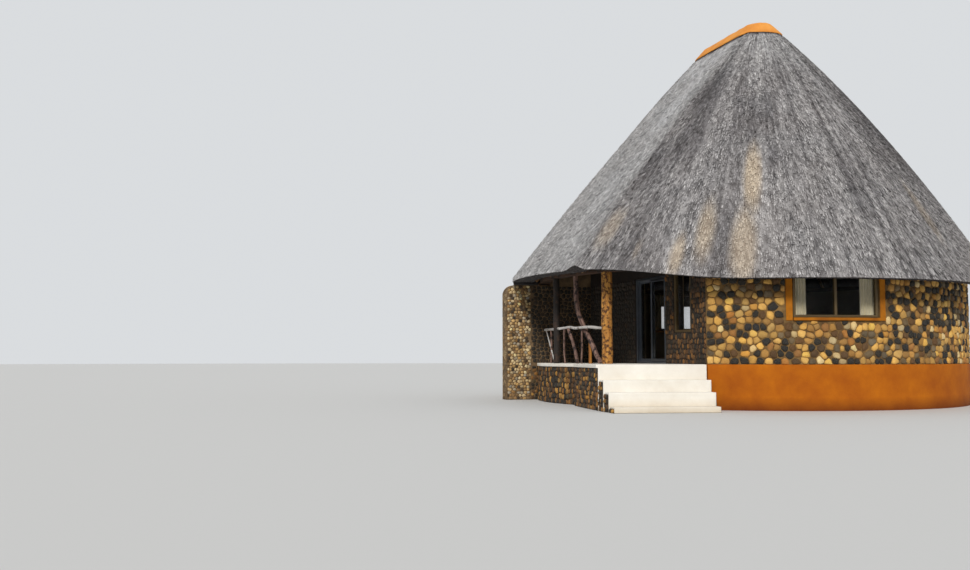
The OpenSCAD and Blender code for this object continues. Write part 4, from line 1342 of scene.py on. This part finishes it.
def build_timber():
    top = WALL_TOP - 0.0005
    build_posts(FLOOR_Z, top)
    build_railing(FLOOR_Z)
    build_trunk(FLOOR_Z, top)


# Curtains

CURTAIN_WIDE = 0.32
CURTAIN_DEEP = 0.06
CURTAIN_X = WALL_R - 0.27
CURTAIN_FOLDS = 5
CURTAIN_COLUMNS, CURTAIN_ROWS = 60, 26
CLOTH_THICK = 0.0015
HALF_WINDOW = 0.94
# no fold goes further than this from the middle of the curtain's depth
FOLD_REACH = 0.027


def hang_curtain(name, bearing, side):
    """One drawn curtain: a sheet in upright folds that open a little towards its hem."""
    half_room = CURTAIN_X * math.tan(math.asin(HALF_WINDOW / WALL_R)) - 0.005
    middle = side * (half_room - CURTAIN_WIDE / 2)
    out = np.append(at(1, bearing), 0)
    along = np.array([math.cos(math.radians(bearing)), math.sin(math.radians(bearing)), 0])
    z0, z1 = (corner.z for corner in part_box("curtains"))
    u, w = np.meshgrid(np.linspace(0, 1, CURTAIN_COLUMNS + 1), np.linspace(0, 1, CURTAIN_ROWS + 1),
                       indexing="ij")
    r = rng(2000 + round(bearing * 10) + 7 * side)
    drift = np.interp(w, [0, 0.5, 1], r.uniform(-0.3, 0.3, 3))
    reach = 0.016 + 0.010 * (1 - w)
    turn = math.tau * CURTAIN_FOLDS * u
    fold = reach * np.sin(turn + drift) + 0.004 * np.sin(math.tau * 2.3 * u + 3 * w)
    x = CURTAIN_X + CURTAIN_DEEP / 2 + np.clip(fold, -FOLD_REACH, FOLD_REACH)
    y = middle + (u - 0.5) * (CURTAIN_WIDE - 0.01) + 0.004 * np.sin(turn * 2) * (1 - w)
    z = z0 + (z1 - z0) * w
    points = x[..., None] * out + y[..., None] * along + z[..., None] * np.array([0, 0, 1.0])
    faces = sheet_faces(CURTAIN_COLUMNS + 1, CURTAIN_ROWS + 1)
    piece = mesh_piece(name, points.reshape(-1, 3), faces, HUT)
    cut = np.linalg.norm(np.diff(points, axis=0), axis=-1).sum(0).mean()
    point_layer(piece, "lay", "vector", np.stack([u * cut, w * (z1 - z0), u * 0], -1))
    work_on(piece)
    thick = piece.modifiers.new("cloth", "SOLIDIFY")
    thick.thickness = CLOTH_THICK
    thick.offset = 0
    bpy.ops.object.modifier_apply(modifier=thick.name)
    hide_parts("curtains")
    finish_piece(piece, "curtain")


def build_curtains():
    for place, t in WINDOWS.items():
        for side, hand in ((-1, "left"), (1, "right")):
            hang_curtain(f"curtain_{place}_{hand}", t, side)


# Camera, light and floor

CAMERA_BEARING = -32
CAMERA_DISTANCE = 26.42
CAMERA_HEIGHT = 1.092
CAMERA_TURN = 17.59
CAMERA_PITCH = 4.118
FOCAL_PIXELS = 1000
PICTURE_WIDTH = 970
SENSOR = 36.0


def build_camera():
    """The camera stands low, at the front left of the hut, and looks a little up."""
    data = bpy.data.cameras.new("view")
    data.sensor_width = SENSOR
    data.lens = SENSOR * FOCAL_PIXELS / PICTURE_WIDTH
    data.clip_end = 500
    camera = bpy.data.objects.new("view", data)
    bpy.context.scene.collection.objects.link(camera)
    a = math.radians(CAMERA_BEARING)
    camera.location = (CAMERA_DISTANCE * math.sin(a), -CAMERA_DISTANCE * math.cos(a), CAMERA_HEIGHT)
    camera.rotation_euler = (math.radians(90 + CAMERA_PITCH), 0, -math.radians(CAMERA_TURN))
    bpy.context.scene.camera = camera


def build_light():
    """A soft sky that lights the hut, a plain backdrop that is seen behind it, and one soft lamp."""
    world = bpy.data.worlds.new("studio")
    world.use_nodes = True
    bpy.context.scene.world = world
    tree = world.node_tree
    seen = tree.nodes["Background"]
    seen.inputs["Color"].default_value = (0.70, 0.72, 0.74, 1)
    seen.inputs["Strength"].default_value = 1.0
    # brighter overhead than along the horizon, like a large soft box
    way = add_node(tree, "ShaderNodeTexCoord")
    split = add_node(tree, "ShaderNodeSeparateXYZ", {"Vector": way.outputs["Generated"]})
    level = add_node(tree, "ShaderNodeMapRange", {"Value": split.outputs["Z"]},
                     {"From Min": 0.0, "From Max": 1.0, "To Min": 0.22, "To Max": 0.78})
    light = add_node(tree, "ShaderNodeBackground", {"Strength": level.outputs["Result"]},
                     {"Color": (0.93, 0.96, 1.0, 1)})
    # gloss and glass show the backdrop, as the camera does
    ray = add_node(tree, "ShaderNodeLightPath").outputs
    shown = ray["Is Camera Ray"]
    for label in ("Is Glossy Ray", "Is Transmission Ray"):
        most = add_node(tree, "ShaderNodeMath", {0: shown, 1: ray[label]}, operation="MAXIMUM")
        shown = most.outputs["Value"]
    mix = add_node(tree, "ShaderNodeMixShader",
                   {"Fac": shown, 1: light.outputs["Background"], 2: seen.outputs["Background"]})
    tree.links.new(mix.outputs["Shader"], tree.nodes["World Output"].inputs["Surface"])
    sun = bpy.data.lights.new("key", "SUN")
    sun.energy = 2.25
    sun.angle = math.radians(12)
    sun.color = (1.0, 0.96, 0.90)
    lamp = bpy.data.objects.new("key", sun)
    bpy.context.scene.collection.objects.link(lamp)
    lamp.rotation_euler = (math.radians(58), 0, math.radians(-28))
    bpy.context.scene.view_settings.view_transform = "Standard"


def build_floor():
    """A wide plain floor just under the ground's level."""
    bpy.ops.mesh.primitive_circle_add(vertices=96, radius=150, fill_type="NGON", location=(0, 0, -0.001))
    floor = bpy.context.object
    floor.name = "studio_floor"
    f = Finish("studio_floor", roughness=0.9)
    f.bsdf.inputs["Base Color"].default_value = (0.62, 0.62, 0.61, 1)
    floor.data.materials.append(f.material)


bpy.ops.object.select_all(action="DESELECT")
build_camera()
build_light()
build_floor()
finish_nodes()
build_walls()
build_plinth()
build_cement()
build_frames()
build_timber()
build_curtains()
build_thatch()
